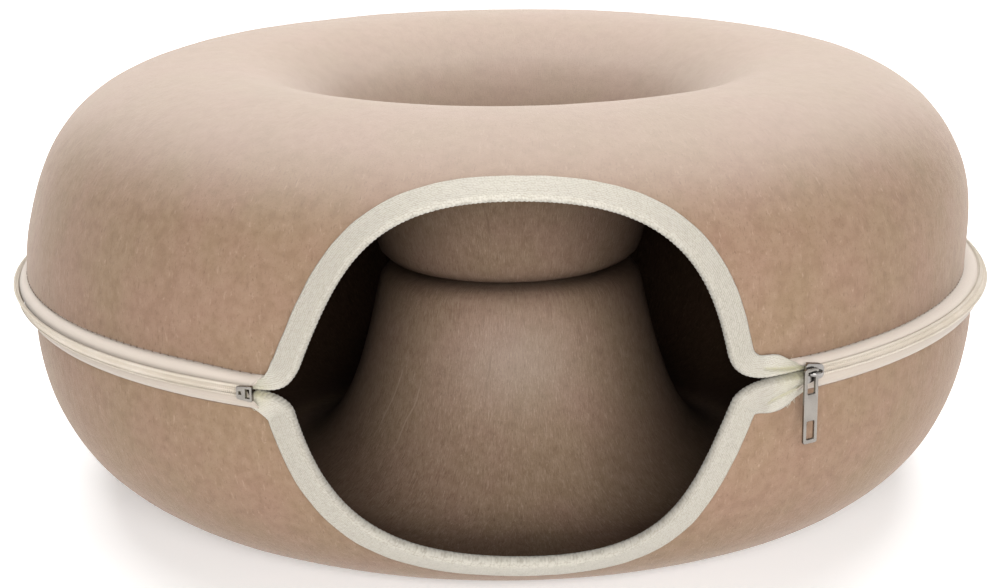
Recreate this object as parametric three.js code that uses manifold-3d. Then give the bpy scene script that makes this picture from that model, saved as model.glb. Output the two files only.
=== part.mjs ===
// Donut cat tunnel of moulded felt: two ring shells that a zip joins round the rim, with a bound
// entrance at the front. Millimetres, +Z up, the entrance faces -Y.

import * as THREE from 'three';
import { mergeVertices } from 'three/addons/utils/BufferGeometryUtils.js';
import Module from 'manifold-3d';

const wasm = await Module();
wasm.setup();

// Driving dimensions

const feltThickness = 3;
const rimRadius = 242; // felt edge beside the zip
const ringFacets = 54; // facets round the whole ring
const seatGap = 0.3; // between pieces that touch

const centreShift = 4.3; // how far the moulding's middle sits to the right of its rims

// The rims climb from left to right, each height by its own amount at the right side.
const climbs = [
  { height: 0, climb: 0 },
  { height: 99, climb: 1.7 },
  { height: 110, climb: 2.6 },
  { height: 116, climb: 1.2 },
  { height: 130, climb: 0 },
];

// The upper rim leans to the left, this far at the left and at the right side, between two heights.
const rimLean = { left: 3.2, right: 5, foot: 107, top: 168 };

// Each shell's wall runs from the rim to a far flat, the crown or the base. Side is the hand on
// which the tunnel lies as the outside face is followed from the axis to the rim.
const upper = { rim: 116, far: 216, farRadius: 147, fullness: 2.45, side: 1 };
const lower = { rim: 99, far: 0, farRadius: 154, fullness: 2.23, side: -1 };
const wallSteps = 12;
const middleSteps = 4;
const sharpestTurn = 0.5; // least cosine of half a corner, so that no mitre runs long

// Middle of each shell, on its outside face: a flat, a rounded corner and a wall that flares to the
// crown or to the flat ring of the base. The pulls are the handles of those curves.
const bowl = { floor: 112.5, flatRadius: 48, cornerPull: 65, wallRadius: 66.5, wallFoot: 121 };
const bowlFlare = { wallPull: [76.5, 168], crownPull: 100 };
const hub = { crown: 105.8, top: 104, flatRadius: 58, cornerPull: 65.3, wallRadius: 66.3, wallTop: 97 };
const hubFlare = { wallPull: [74.5, 60], ringPull: 84, ringInner: 134 };

// Entrance, seen from the front: each arch has a crest and two feet, which flare into its lips.
// The pulls are the handles of the curves, and leaf is the width of the binding there.
const archUpper = { crest: [-3.5, 191.3], crestPull: 64, leaf: 11.2 };
const archLower = { crest: [6.8, 26.2], crestPull: 58.5, leaf: 11.8 };
const feetUpper = {
  left: { foot: [-94.3, 120.2], pull: [-78, 161.3] },
  right: { foot: [89.9, 123.4], pull: [79.9, 166.6] },
};
const feetLower = {
  left: { foot: [-97.8, 99.4], pull: [-82.4, 43.4] },
  right: { foot: [91.5, 100], pull: [73.4, 60.4] },
};

// Each lip turns from its foot at the height corner and runs to the height end. Its leaves are as wide
// as leaf along it, and narrow from taperFrom on to endLeaf.
const lipsUpper = {
  left: { corner: 109.1, end: 109.3, leaf: 11.2, taperFrom: 104.5, endLeaf: 2.8 },
  right: { corner: 107.6, end: 109.8, leaf: 11.2, taperFrom: 111.5, endLeaf: 3.2 },
};
const lipsLower = {
  left: { corner: 105.8, end: 108.8, leaf: 11.8, taperFrom: 107, endLeaf: 7.5 },
  right: { corner: 106.6, end: 109.3, leaf: 14.8, taperFrom: 114.5, endLeaf: 10 },
};
const flare = { widenFrom: 97, widenTo: 107, lipStart: 109, leftEnd: 112.6, rightEnd: 121.8 };
const cutFrom = 150; // the entrance is cut through the front wall only
const cutTo = 300;

// Binding: tape folded over the felt's edge, with a leaf on each face
const binding = { tape: 1, bend: 2.2, clearOutside: 0.3, clearInside: 0.9, steps: 56 };
const lipFold = { swell: 4.5, swellFrom: 23.5, swellTo: 31 };
const bindingInset = binding.tape + 0.5; // the felt's edge lies this far inside the fold

// Zip: the chain's mid-line, and the tape's section from behind the felt to the chain's edge
const chainHeight = 110;
const tapeThickness = 0.8;
const tapeEdge = { rise: 0.3, radius: 246.7 };
const tapeUpper = [
  { rise: 15, radius: 237.6 },
  { rise: 5.4, radius: 238 },
  { rise: 4.1, radius: 243 },
  { rise: 2.8, radius: 246.5 },
  tapeEdge,
];
const tapeLower = [
  { rise: 15.1, radius: 237.8 },
  { rise: 10, radius: 238 },
  { rise: 8.4, radius: 243.4 },
  { rise: 6.2, radius: 246.4 },
  tapeEdge,
];
const tapeEnds = { right: 30.45, left: -28.4 };
const coil = { back: 247.4, height: 2.1, width: 1.9, shoulder: 0.5, rise: 0.3, right: 31.5, left: -28.5 };

// Metal pieces of the zip, by their place round the ring in degrees from the front
const slider = { azimuth: 30.8, length: 10, width: 9.6, plate: 1.2, corner: 2.6 };
const sliderBack = { left: -1.3, right: 5, width: 4.6, corner: 0.9 };
const post = { offset: -0.3, length: 1.8, width: 1.4 };
const bail = { left: -4.6, right: 3.6, wire: 1.4, width: 1.7, rise: 3.7, sink: 0.4 };

// The tapes part inside the slider, round its post, and stay apart to their right ends.
const parting = { mouth: 31.1, tail: 32.4, spread: 1.2, spreadAtEnd: 1.8, fade: 7.2 };
const puller = { offset: -3.7, width: 7, length: 34, thickness: 1.4, corner: 0.9, bar: 1.6 };
const pullerEye = { length: 9.8 };
const pullerWindow = { length: 8.2, foot: 2 };
const endBox = { azimuth: -27.8, length: 9.2, width: 8, plate: 1.8, corner: 1.2 };
const endBoxSlot = { offset: 1.9, length: 2.6, width: 5 };
const endBoxHole = { offset: -2.3, length: 1.6, width: 1.6 };

// Finishes

const feltColour = 0xb1937c;
const bindingColour = 0xe3dfd0;
const tapeColour = 0xeee2d8;
const coilColour = 0xeadfc9;
const darkMetal = 0x77726e;
const paleMetal = 0xa9a29c;

function cloth(color) {
  return new THREE.MeshStandardMaterial({ color, roughness: 0.95, metalness: 0 });
}

function metal(color) {
  return new THREE.MeshStandardMaterial({ color, roughness: 0.3, metalness: 1 });
}

// Solids

function toSolid(geometry) {
  const bare = geometry.index ? geometry.toNonIndexed() : geometry.clone();
  bare.deleteAttribute('normal');
  bare.deleteAttribute('uv');
  const merged = mergeVertices(bare, 1e-4);
  const corners = merged.index.array;
  const kept = [];
  for (let i = 0; i < corners.length; i += 3) {
    const [a, b, c] = corners.slice(i, i + 3);
    if (a !== b && b !== c && c !== a) kept.push(a, b, c);
  }
  return new wasm.Manifold(new wasm.Mesh({
    numProp: 3,
    vertProperties: new Float32Array(merged.attributes.position.array),
    triVerts: new Uint32Array(kept),
  }));
}

function toGeometry(solid) {
  const mesh = solid.getMesh();
  const geometry = new THREE.BufferGeometry();
  geometry.setAttribute('position', new THREE.BufferAttribute(mesh.vertProperties, 3));
  geometry.setIndex(new THREE.BufferAttribute(mesh.triVerts, 1));
  return geometry;
}

function piece(name, geometry, material) {
  const mesh = new THREE.Mesh(geometry, material);
  mesh.name = name;
  return mesh;
}

// Closed skin over a run of sections that share one outline, with both ends capped
function cappedLoft(sections, outline) {
  const count = outline.length;
  const positions = sections.flat().flatMap((point) => point.toArray());
  const index = [];
  for (let i = 0; i < sections.length - 1; i += 1) {
    const here = i * count;
    const next = here + count;
    for (let j = 0; j < count; j += 1) {
      const k = (j + 1) % count;
      index.push(here + j, next + j, next + k, here + j, next + k, here + k);
    }
  }
  const end = (sections.length - 1) * count;
  const clockwise = THREE.ShapeUtils.isClockWise(outline);
  for (const corners of THREE.ShapeUtils.triangulateShape(outline, [])) {
    const sameWay = THREE.ShapeUtils.isClockWise(corners.map((corner) => outline[corner])) === clockwise;
    const [a, b, c] = sameWay ? corners : [...corners].reverse();
    index.push(a, b, c);
    index.push(end + a, end + c, end + b);
  }
  const geometry = new THREE.BufferGeometry();
  geometry.setAttribute('position', new THREE.Float32BufferAttribute(positions, 3));
  geometry.setIndex(index);
  return geometry;
}

// Shape of the whole ring

function climbAt(z) {
  const next = climbs.findIndex((row) => row.height > z);
  if (next < 1) return 0;
  const [from, to] = climbs.slice(next - 1, next + 1);
  const share = (z - from.height) / (to.height - from.height);
  return THREE.MathUtils.lerp(from.climb, to.climb, share);
}

// The moulding's middle sits off to the right, the rims climb from left to right and the upper rim
// leans to the left.
function settle(point) {
  const reach = Math.hypot(point.x, point.y) / rimRadius;
  const sideways = (point.x / rimRadius) ** 2;
  const lean = point.x > 0 ? rimLean.right : rimLean.left;
  const leanShare = THREE.MathUtils.smoothstep(point.z, rimLean.foot, upper.rim)
    - THREE.MathUtils.smoothstep(point.z, upper.rim, rimLean.top);
  point.z += climbAt(point.z) * point.x / rimRadius;
  point.x += centreShift * (1 - reach * reach) - lean * leanShare * sideways;
  return point;
}

function roundRing(radius, height, degrees) {
  const angle = THREE.MathUtils.degToRad(degrees);
  return new THREE.Vector3(radius * Math.sin(angle), -radius * Math.cos(angle), height);
}

// Wall of a shell from its rim to its far flat, a superellipse quarter
function wallLine(half) {
  const points = [];
  for (let i = 0; i <= wallSteps; i += 1) {
    const angle = (i / wallSteps) * Math.PI / 2;
    const reach = Math.max(0, Math.cos(angle)) ** (2 / half.fullness);
    const rise = Math.sin(angle) ** (2 / half.fullness);
    points.push(new THREE.Vector2(
      half.farRadius + (rimRadius - half.farRadius) * reach,
      half.rim + (half.far - half.rim) * rise,
    ));
  }
  return points;
}

// Outside face of the bowl, from the axis to the crown
function bowlLine() {
  const line = new THREE.Path();
  line.moveTo(0, bowl.floor);
  line.lineTo(bowl.flatRadius, bowl.floor);
  line.quadraticCurveTo(bowl.cornerPull, bowl.floor, bowl.wallRadius, bowl.wallFoot);
  line.bezierCurveTo(...bowlFlare.wallPull, bowlFlare.crownPull, upper.far, upper.farRadius, upper.far);
  return line.getPoints(middleSteps);
}

// Outside face of the hub, from the axis to the flat ring of the base
function hubLine() {
  const line = new THREE.Path();
  line.moveTo(0, hub.crown);
  line.lineTo(hub.flatRadius, hub.top);
  line.quadraticCurveTo(hub.cornerPull, hub.top, hub.wallRadius, hub.wallTop);
  line.bezierCurveTo(...hubFlare.wallPull, hubFlare.ringPull, lower.far, hubFlare.ringInner, lower.far);
  return line.getPoints(middleSteps);
}

// Line a felt's thickness to the tunnel side of an outside face
function tunnelSide(outside, half) {
  return outside.map((point, i) => {
    const before = outside[Math.max(0, i - 1)];
    const after = outside[Math.min(outside.length - 1, i + 1)];
    if (i === outside.length - 1) return new THREE.Vector2(point.x - feltThickness, point.y);
    const inward = i > 0 ? point.clone().sub(before).normalize() : new THREE.Vector2(1, 0);
    const outward = after.clone().sub(point).normalize();
    const run = inward.clone().add(outward).normalize();
    const mitre = feltThickness / Math.max(sharpestTurn, run.dot(outward));
    const away = new THREE.Vector2(run.y, -run.x).multiplyScalar(mitre * half.side);
    return new THREE.Vector2(i > 0 ? point.x + away.x : 0, point.y + away.y);
  });
}

function shellSolid(half, middleLine, arch, feet, lips) {
  const wall = wallLine(half).reverse();
  const meeting = middleLine[middleLine.length - 1];
  const outside = [...middleLine, ...wall.filter((point) => point.distanceTo(meeting) > seatGap)];
  const inside = tunnelSide(outside, half);
  const section = half === upper
    ? [...inside, ...outside.reverse()]
    : [...outside, ...inside.reverse()];
  const ring = new THREE.LatheGeometry(section, ringFacets).rotateX(Math.PI / 2);
  const places = ring.attributes.position;
  for (let i = 0; i < places.count; i += 1) {
    const point = settle(new THREE.Vector3().fromBufferAttribute(places, i));
    places.setXYZ(i, point.x, point.y, point.z);
  }
  return toGeometry(toSolid(ring).subtract(entranceCut(arch, feet, lips)));
}

// Entrance and its binding

// Point at which a foot's straight run meets the level of its lip's corner
function lipCorner({ foot, pull }, { corner }) {
  const lean = (foot[0] - pull[0]) / (foot[1] - pull[1]);
  return foot[0] + lean * (corner - foot[1]);
}

// Height at which a lip starts, on the straight run from its corner to its end
function lipStartHeight(lip, cornerX, endX) {
  const share = (flare.lipStart - Math.abs(cornerX)) / (endX - Math.abs(cornerX));
  return THREE.MathUtils.lerp(lip.corner, lip.end, share);
}

// Edge of the opening seen from the front, from the left lip over the arch to the right lip
function entranceLine(arch, feet, lips) {
  const [crestX, crestZ] = arch.crest;
  const { left, right } = feet;
  const leftCorner = lipCorner(left, lips.left);
  const rightCorner = lipCorner(right, lips.right);
  const line = new THREE.Path();
  line.moveTo(-flare.leftEnd, lips.left.end);
  line.lineTo(-flare.lipStart, lipStartHeight(lips.left, leftCorner, flare.leftEnd));
  line.quadraticCurveTo(leftCorner, lips.left.corner, ...left.foot);
  line.bezierCurveTo(...left.pull, crestX - arch.crestPull, crestZ, crestX, crestZ);
  line.bezierCurveTo(crestX + arch.crestPull, crestZ, ...right.pull, ...right.foot);
  line.quadraticCurveTo(rightCorner, lips.right.corner,
    flare.lipStart, lipStartHeight(lips.right, rightCorner, flare.rightEnd));
  line.lineTo(flare.rightEnd, lips.right.end);
  return line;
}

// Direction away from the opening at a place along its edge
function awayFromOpening(line, share, arch) {
  const run = line.getTangentAt(share);
  const turn = arch === archUpper ? 1 : -1;
  return new THREE.Vector2(-run.y, run.x).multiplyScalar(turn);
}

function entranceCut(arch, feet, lips) {
  const line = entranceLine(arch, feet, lips);
  const edge = line.getSpacedPoints(binding.steps).map((point, i) => (
    point.addScaledVector(awayFromOpening(line, i / binding.steps, arch), bindingInset)
  ));
  const pastLips = 2 * chainHeight - arch.crest[1];
  edge.push(new THREE.Vector2(flare.rightEnd, pastLips), new THREE.Vector2(-flare.leftEnd, pastLips));
  const prism = new THREE.ExtrudeGeometry(new THREE.Shape(edge), {
    depth: cutTo - cutFrom,
    bevelEnabled: false,
  });
  return toSolid(prism.rotateX(Math.PI / 2).translate(0, -cutFrom, 0));
}

// Place on a shell's wall that shows at a point of the front view, carried on straight past the rim
function wallFromFront(half, x, z) {
  const climb = Math.max(0, (z - half.rim) / (half.far - half.rim));
  const reach = (1 - climb ** half.fullness) ** (1 / half.fullness);
  const radius = half.farRadius + (rimRadius - half.farRadius) * reach;
  return new THREE.Vector3(x, -Math.sqrt(radius * radius - x * x), z);
}

// The same wall under a point near it, and the wall's outward direction there
function ontoWall(half, point) {
  const span = rimRadius - half.farRadius;
  const height = half.far - half.rim;
  const angle = Math.atan2(point.x, -point.y);
  let reach = (Math.hypot(point.x, point.y) - half.farRadius) / span;
  let climb = Math.max(0, (point.z - half.rim) / height);
  const size = (reach ** half.fullness + climb ** half.fullness) ** (1 / half.fullness);
  reach /= size;
  climb /= size;
  const across = reach ** (half.fullness - 1) / span;
  const along = climb ** (half.fullness - 1) / height;
  const radius = half.farRadius + span * reach;
  const facing = new THREE.Vector2(across, along).normalize();
  return {
    place: new THREE.Vector3(
      radius * Math.sin(angle),
      -radius * Math.cos(angle),
      climb > 0 ? half.rim + height * climb : point.z,
    ),
    normal: new THREE.Vector3(facing.x * Math.sin(angle), -facing.x * Math.cos(angle), facing.y),
  };
}

const bindingTop = binding.clearOutside + binding.tape;
const bindingFoot = -feltThickness - binding.clearInside - binding.tape;

// How far a rise lies from the tunnel leaf towards the outer leaf
function outerShare(rise) {
  return (rise - bindingFoot) / (bindingTop - bindingFoot);
}

// Section of the folded tape: rows at the leaf's tip or at a depth in from the fold, with their
// rise above the felt's outside face
function bindingSection() {
  const middle = (bindingTop + bindingFoot) / 2;
  const outline = [
    { tip: true, rise: bindingFoot + binding.tape },
    { tip: true, rise: bindingFoot },
  ];
  const bendSteps = 5;
  for (let i = 0; i <= bendSteps; i += 1) {
    const angle = (i / bendSteps - 0.5) * Math.PI;
    outline.push({
      depth: binding.bend * (1 - Math.cos(angle)),
      rise: middle + (bindingTop - middle) * Math.sin(angle),
    });
  }
  outline.push(
    { tip: true, rise: bindingTop },
    { tip: true, rise: binding.clearOutside },
    { depth: binding.tape, rise: binding.clearOutside },
    { depth: binding.tape, rise: bindingFoot + binding.tape },
  );
  return outline;
}

// Width of the leaves at a place along the edge: they narrow towards the lips' ends, and in a tight
// turn they stop where their two sides meet
function leafWidth(arch, lips, edges, i, inward) {
  const { smoothstep, lerp } = THREE.MathUtils;
  const reach = Math.abs(edges[i].x);
  const [lip, end] = edges[i].x > 0 ? [lips.right, flare.rightEnd] : [lips.left, flare.leftEnd];
  const alongLip = lerp(arch.leaf, lip.leaf, smoothstep(reach, flare.widenFrom, flare.widenTo));
  let width = lerp(alongLip, lip.endLeaf, smoothstep(reach, lip.taperFrom, end));
  for (const other of edges) {
    const apart = other.clone().sub(edges[i]);
    const ahead = apart.dot(inward);
    if (ahead > seatGap) width = Math.min(width, apart.lengthSq() / (2 * ahead));
  }
  return width;
}

function lipSwell(point) {
  const degrees = THREE.MathUtils.radToDeg(Math.atan2(Math.abs(point.x), -point.y));
  return lipFold.swell * THREE.MathUtils.smoothstep(degrees, lipFold.swellFrom, lipFold.swellTo);
}

function bindingSolid(half, arch, feet, lips) {
  const line = entranceLine(arch, feet, lips);
  const onWall = (share) => {
    const flat = line.getPointAt(THREE.MathUtils.clamp(share, 0, 1));
    return wallFromFront(half, flat.x, flat.y);
  };
  const outline = bindingSection();
  const nearby = 0.002;
  const shares = Array.from({ length: binding.steps + 1 }, (_, i) => i / binding.steps);
  const edges = shares.map(onWall);
  const sections = shares.map((share, i) => {
    const edge = edges[i];
    const run = onWall(share + nearby).sub(onWall(share - nearby)).normalize();
    const { normal } = ontoWall(half, edge);
    const inward = new THREE.Vector3().crossVectors(normal, run).multiplyScalar(half.side).normalize();
    const leaf = leafWidth(arch, lips, edges, i, inward);
    return outline.map((row) => {
      const inset = row.tip ? leaf : row.depth;
      const wall = ontoWall(half, edge.clone().addScaledVector(inward, inset));
      const swell = lipSwell(edge) * Math.max(0, 1 - inset / arch.leaf) * outerShare(row.rise);
      const out = new THREE.Vector3(wall.normal.x, wall.normal.y, 0).normalize();
      return settle(wall.place.addScaledVector(wall.normal, row.rise).addScaledVector(out, swell));
    });
  });
  const flat = outline.map((row) => new THREE.Vector2(row.tip ? arch.leaf : row.depth, row.rise));
  if (half === lower) sections.reverse();
  return cappedLoft(sections, flat);
}

// Zip

// Places round the ring from one end of the zip to the other, kept in step with the felt's facets
function roundStations(right, left, extra = []) {
  const stations = [right, ...extra];
  const last = 360 + left;
  const leastStep = 1;
  for (let i = 0; i < ringFacets; i += 1) {
    const degrees = i * 360 / ringFacets;
    const previous = stations[stations.length - 1];
    if (degrees > previous + leastStep && degrees < last - leastStep) stations.push(degrees);
  }
  stations.push(last);
  return stations;
}

function tapeSolid(half, rows) {
  const up = half.side;
  const stations = roundStations(tapeEnds.right, tapeEnds.left, [parting.mouth, parting.tail]);
  const halfTape = tapeThickness / 2;
  const line = rows.map((row) => new THREE.Vector2(row.radius, row.rise));
  const faces = [1, -1].map((face) => line.map((point, i) => {
    const before = line[Math.max(0, i - 1)];
    const after = line[Math.min(line.length - 1, i + 1)];
    const run = after.clone().sub(before).normalize();
    return new THREE.Vector2(point.x - run.y * halfTape * face, point.y + run.x * halfTape * face);
  }));
  const outline = [...faces[0], ...faces[1].reverse()];
  const sections = stations.map((degrees) => {
    const spread = degrees < parting.mouth ? parting.spreadAtEnd : parting.spread;
    const parted = degrees < parting.tail ? spread : 0;
    return outline.map((point) => {
      const nearChain = Math.max(0, 1 - point.y / parting.fade);
      return settle(roundRing(point.x, chainHeight + up * (point.y + parted * nearChain), degrees));
    });
  });
  if (up > 0) sections.reverse();
  return cappedLoft(sections, outline);
}

function coilSolid(half) {
  const up = half.side;
  const face = coil.back + coil.height;
  const top = coil.rise + coil.width;
  const outline = [
    new THREE.Vector2(coil.back, coil.rise),
    new THREE.Vector2(face - coil.shoulder, coil.rise),
    new THREE.Vector2(face, coil.rise + coil.shoulder),
    new THREE.Vector2(face, top - coil.shoulder),
    new THREE.Vector2(face - 2 * coil.shoulder, top),
    new THREE.Vector2(coil.back, top),
  ];
  const sections = roundStations(coil.right, coil.left).map((degrees) => (
    outline.map((point) => settle(roundRing(point.x, chainHeight + up * point.y, degrees)))
  ));
  if (up < 0) sections.reverse();
  return cappedLoft(sections, outline);
}

// Metal pieces, drawn at the front of the ring: x along the zip, -y outward, z up from the chain

function roundedPlate(left, right, foot, top, corner) {
  const shape = new THREE.Shape();
  shape.moveTo(left + corner, foot);
  shape.lineTo(right - corner, foot);
  shape.quadraticCurveTo(right, foot, right, foot + corner);
  shape.lineTo(right, top - corner);
  shape.quadraticCurveTo(right, top, right - corner, top);
  shape.lineTo(left + corner, top);
  shape.quadraticCurveTo(left, top, left, top - corner);
  shape.lineTo(left, foot + corner);
  shape.quadraticCurveTo(left, foot, left + corner, foot);
  return shape;
}

function cutOut(left, right, foot, top) {
  const hole = new THREE.Path();
  hole.moveTo(left, foot);
  hole.lineTo(left, top);
  hole.lineTo(right, top);
  hole.lineTo(right, foot);
  hole.closePath();
  return hole;
}

// Plate that faces outward, its inner face at the given radius
function facingPlate(shape, radius, depth) {
  const options = { depth, bevelEnabled: false, curveSegments: 4 };
  return new THREE.ExtrudeGeometry(shape, options).rotateX(Math.PI / 2).translate(0, -radius, 0);
}

const chainFace = coil.back + coil.height;
const plateSeat = chainFace + seatGap;
const tapeBack = tapeEdge.radius - tapeThickness / 2;
const sliderFace = plateSeat + slider.plate;

// Bail: an arch over the slider, its legs on the outer plate
function bailSolid() {
  const foot = -(sliderFace - bail.sink);
  const top = -(sliderFace + bail.rise);
  const reach = (bail.right - bail.left) / 2;
  const middle = (bail.right + bail.left) / 2;
  const arch = new THREE.Shape();
  arch.moveTo(bail.left, foot);
  arch.lineTo(bail.left, top + reach / 2);
  arch.quadraticCurveTo(bail.left, top, middle, top);
  arch.quadraticCurveTo(bail.right, top, bail.right, top + reach / 2);
  arch.lineTo(bail.right, foot);
  arch.lineTo(bail.right - bail.wire, foot);
  arch.lineTo(bail.right - bail.wire, top + reach / 2 + bail.wire / 2);
  arch.quadraticCurveTo(bail.right - bail.wire, top + bail.wire, middle, top + bail.wire);
  arch.quadraticCurveTo(bail.left + bail.wire, top + bail.wire, bail.left + bail.wire,
    top + reach / 2 + bail.wire / 2);
  arch.lineTo(bail.left + bail.wire, foot);
  arch.closePath();
  const options = { depth: bail.width, bevelEnabled: false, curveSegments: 5 };
  return toSolid(new THREE.ExtrudeGeometry(arch, options).translate(0, 0, -bail.width / 2));
}

function sliderSolid() {
  const reach = slider.length / 2;
  const half = slider.width / 2;
  const back = sliderBack.width / 2;
  const innerSeat = tapeBack - 2 * seatGap - slider.plate;
  const outerPlate = roundedPlate(-reach, reach, -half, half, slider.corner);
  const innerPlate = roundedPlate(sliderBack.left, sliderBack.right, -back, back, sliderBack.corner);
  const depth = plateSeat - innerSeat + slider.plate / 2;
  const stem = new THREE.BoxGeometry(post.length, depth, post.width);
  stem.translate(post.offset, -(innerSeat + slider.plate / 2 + depth / 2), 0);
  const body = toSolid(facingPlate(outerPlate, plateSeat, slider.plate))
    .add(toSolid(facingPlate(innerPlate, innerSeat, slider.plate)))
    .add(toSolid(stem))
    .add(bailSolid());
  return toGeometry(body);
}

function pullerSolid() {
  const left = puller.offset - puller.width / 2;
  const right = puller.offset + puller.width / 2;
  const eyeTop = bail.width / 2 + seatGap;
  const top = eyeTop + puller.bar;
  const foot = top - puller.length;
  const tab = roundedPlate(left, right, foot, top, puller.corner);
  tab.holes.push(cutOut(left + puller.bar, right - puller.bar, eyeTop - pullerEye.length, eyeTop));
  const windowFoot = foot + pullerWindow.foot;
  const windowTop = windowFoot + pullerWindow.length;
  tab.holes.push(cutOut(left + puller.bar, right - puller.bar, windowFoot, windowTop));
  return facingPlate(tab, sliderFace + 2 * seatGap, puller.thickness);
}

function endBoxSolid() {
  const reach = endBox.length / 2;
  const half = endBox.width / 2;
  const plate = roundedPlate(-reach, reach, -half, half, endBox.corner);
  for (const gap of [endBoxSlot, endBoxHole]) {
    const left = gap.offset - gap.length / 2;
    plate.holes.push(cutOut(left, left + gap.length, -gap.width / 2, gap.width / 2));
  }
  return facingPlate(plate, plateSeat, endBox.plate);
}

// Group that carries pieces to their place round the ring, where the chain has settled there
function onChain(degrees, ...pieces) {
  const carrier = new THREE.Group();
  const level = roundRing(chainFace, 0, degrees);
  carrier.rotation.z = THREE.MathUtils.degToRad(degrees);
  carrier.position.copy(settle(roundRing(chainFace, chainHeight, degrees)).sub(level));
  carrier.add(...pieces);
  return carrier;
}

// Assembly

const donut = new THREE.Group();
donut.add(
  piece('upper_shell', shellSolid(upper, bowlLine(), archUpper, feetUpper, lipsUpper), cloth(feltColour)),
  piece('lower_shell', shellSolid(lower, hubLine(), archLower, feetLower, lipsLower), cloth(feltColour)),
  piece('upper_binding', bindingSolid(upper, archUpper, feetUpper, lipsUpper), cloth(bindingColour)),
  piece('lower_binding', bindingSolid(lower, archLower, feetLower, lipsLower), cloth(bindingColour)),
  piece('zip_tape_upper', tapeSolid(upper, tapeUpper), cloth(tapeColour)),
  piece('zip_tape_lower', tapeSolid(lower, tapeLower), cloth(tapeColour)),
  piece('zip_coil_upper', coilSolid(upper), cloth(coilColour)),
  piece('zip_coil_lower', coilSolid(lower), cloth(coilColour)),
  onChain(
    slider.azimuth,
    piece('zip_slider', sliderSolid(), metal(darkMetal)),
    piece('zip_puller', pullerSolid(), metal(paleMetal)),
  ),
  onChain(endBox.azimuth, piece('zip_end_box', endBoxSolid(), metal(paleMetal))),
);

// The origin is the middle of the whole object's footprint, on the floor.
donut.updateMatrixWorld(true);
const extent = new THREE.Box3().setFromObject(donut, true);
donut.position.x = -(extent.min.x + extent.max.x) / 2;
donut.position.y = -(extent.min.y + extent.max.y) / 2;

export default donut;
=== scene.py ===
# Donut cat tunnel of moulded felt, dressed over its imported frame. Sizes below are millimetres.

import math

import bpy
import numpy as np
from mathutils import Matrix, Quaternion, Vector, noise


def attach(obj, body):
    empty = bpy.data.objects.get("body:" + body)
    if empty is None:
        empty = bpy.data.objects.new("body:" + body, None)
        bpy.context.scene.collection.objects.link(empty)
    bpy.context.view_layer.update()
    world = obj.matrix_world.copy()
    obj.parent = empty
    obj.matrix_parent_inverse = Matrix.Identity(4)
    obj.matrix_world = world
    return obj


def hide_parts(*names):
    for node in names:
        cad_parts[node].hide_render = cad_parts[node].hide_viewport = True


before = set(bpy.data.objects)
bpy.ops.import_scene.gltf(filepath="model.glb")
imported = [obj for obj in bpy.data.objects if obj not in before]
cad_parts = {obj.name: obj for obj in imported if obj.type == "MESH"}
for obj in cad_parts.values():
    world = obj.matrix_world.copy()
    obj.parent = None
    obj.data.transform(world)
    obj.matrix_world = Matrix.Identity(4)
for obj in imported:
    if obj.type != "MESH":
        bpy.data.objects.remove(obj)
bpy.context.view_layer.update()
bpy.ops.object.select_all(action="DESELECT")
mm = 0.001
print(len(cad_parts), "solids loaded")

# Ring that all the pieces follow

ring = {
    "axis": (1.32, -11.33, 0.0),  # where the ring's own axis stands
    "rimRadius": 242.0,
    "felt": 3.0,
    "middleShift": 4.3,  # the middle of the moulding sits off to the right
    "climb": ((0, 99, 110, 116, 130), (0, 1.7, 2.6, 1.2, 0)),  # heights, and their climb at the right
    "leanLeft": 3.2, "leanRight": 5.0, "leanFoot": 107.0, "leanTop": 168.0,  # the upper rim leans left
    "liftLeft": 1.3, "liftRight": -0.4,  # the felt's upper edge, past the lips
    "liftRise": (112.0, 115.5), "liftFade": (118.0, 145.0),  # heights
    "liftPast": (0.46, 0.6), "liftReach": (0.9, 0.97),  # shares of the rim's radius
    "chainHeight": 110.0,
    "seatGap": 0.3,
}
upperHalf = {"rim": 116.0, "far": 216.0, "farRadius": 147.0, "fullness": 2.45, "side": 1}
lowerHalf = {"rim": 99.0, "far": 0.0, "farRadius": 154.0, "fullness": 2.23, "side": -1}


def curveLine(*handles, count=40):
    t = np.linspace(0, 1, count)[:, None]
    points = [np.array(h, float) for h in handles]
    while len(points) > 1:
        points = [a * (1 - t) + b * t for a, b in zip(points, points[1:])]
    return points[0]


def runLength(points):
    return np.concatenate([[0], np.cumsum(np.linalg.norm(np.diff(points, axis=0), axis=1))])


def evenLine(points, step):
    run = runLength(points)
    count = max(2, int(round(run[-1] / step)) + 1)
    at = np.linspace(0, run[-1], count)
    return np.column_stack([np.interp(at, run, points[:, k]) for k in range(points.shape[1])])


def smoothStep(x, low, high):
    t = np.clip((np.asarray(x, float) - low) / (high - low), 0, 1)
    return t * t * (3 - 2 * t)


def unit(vectors):
    return vectors / np.linalg.norm(vectors, axis=-1)[..., None]


def roundRing(radius, height, degrees):
    a = np.radians(degrees)
    return np.stack(np.broadcast_arrays(radius * np.sin(a), -radius * np.cos(a), height), -1)


def settle(points):  # from an even ring to the uneven one of the photograph
    p = np.array(points, float)
    x, y, z = (p[..., k] for k in range(3))
    reach = np.hypot(x, y) / ring["rimRadius"]
    across = x / ring["rimRadius"]
    rim = upperHalf["rim"]
    lean = smoothStep(z, ring["leanFoot"], rim) - smoothStep(z, rim, ring["leanTop"])
    lean = lean * np.where(across > 0, ring["leanRight"], ring["leanLeft"])
    edge = smoothStep(z, *ring["liftRise"]) - smoothStep(z, *ring["liftFade"])
    edge = edge * smoothStep(np.abs(across), *ring["liftPast"]) * smoothStep(reach, *ring["liftReach"])
    lift = edge * np.where(across > 0, ring["liftRight"], ring["liftLeft"])
    p[..., 2] += np.interp(z, *ring["climb"]) * across + lift
    p[..., 0] += ring["middleShift"] * (1 - reach ** 2) - lean * across ** 2
    return p


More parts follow.
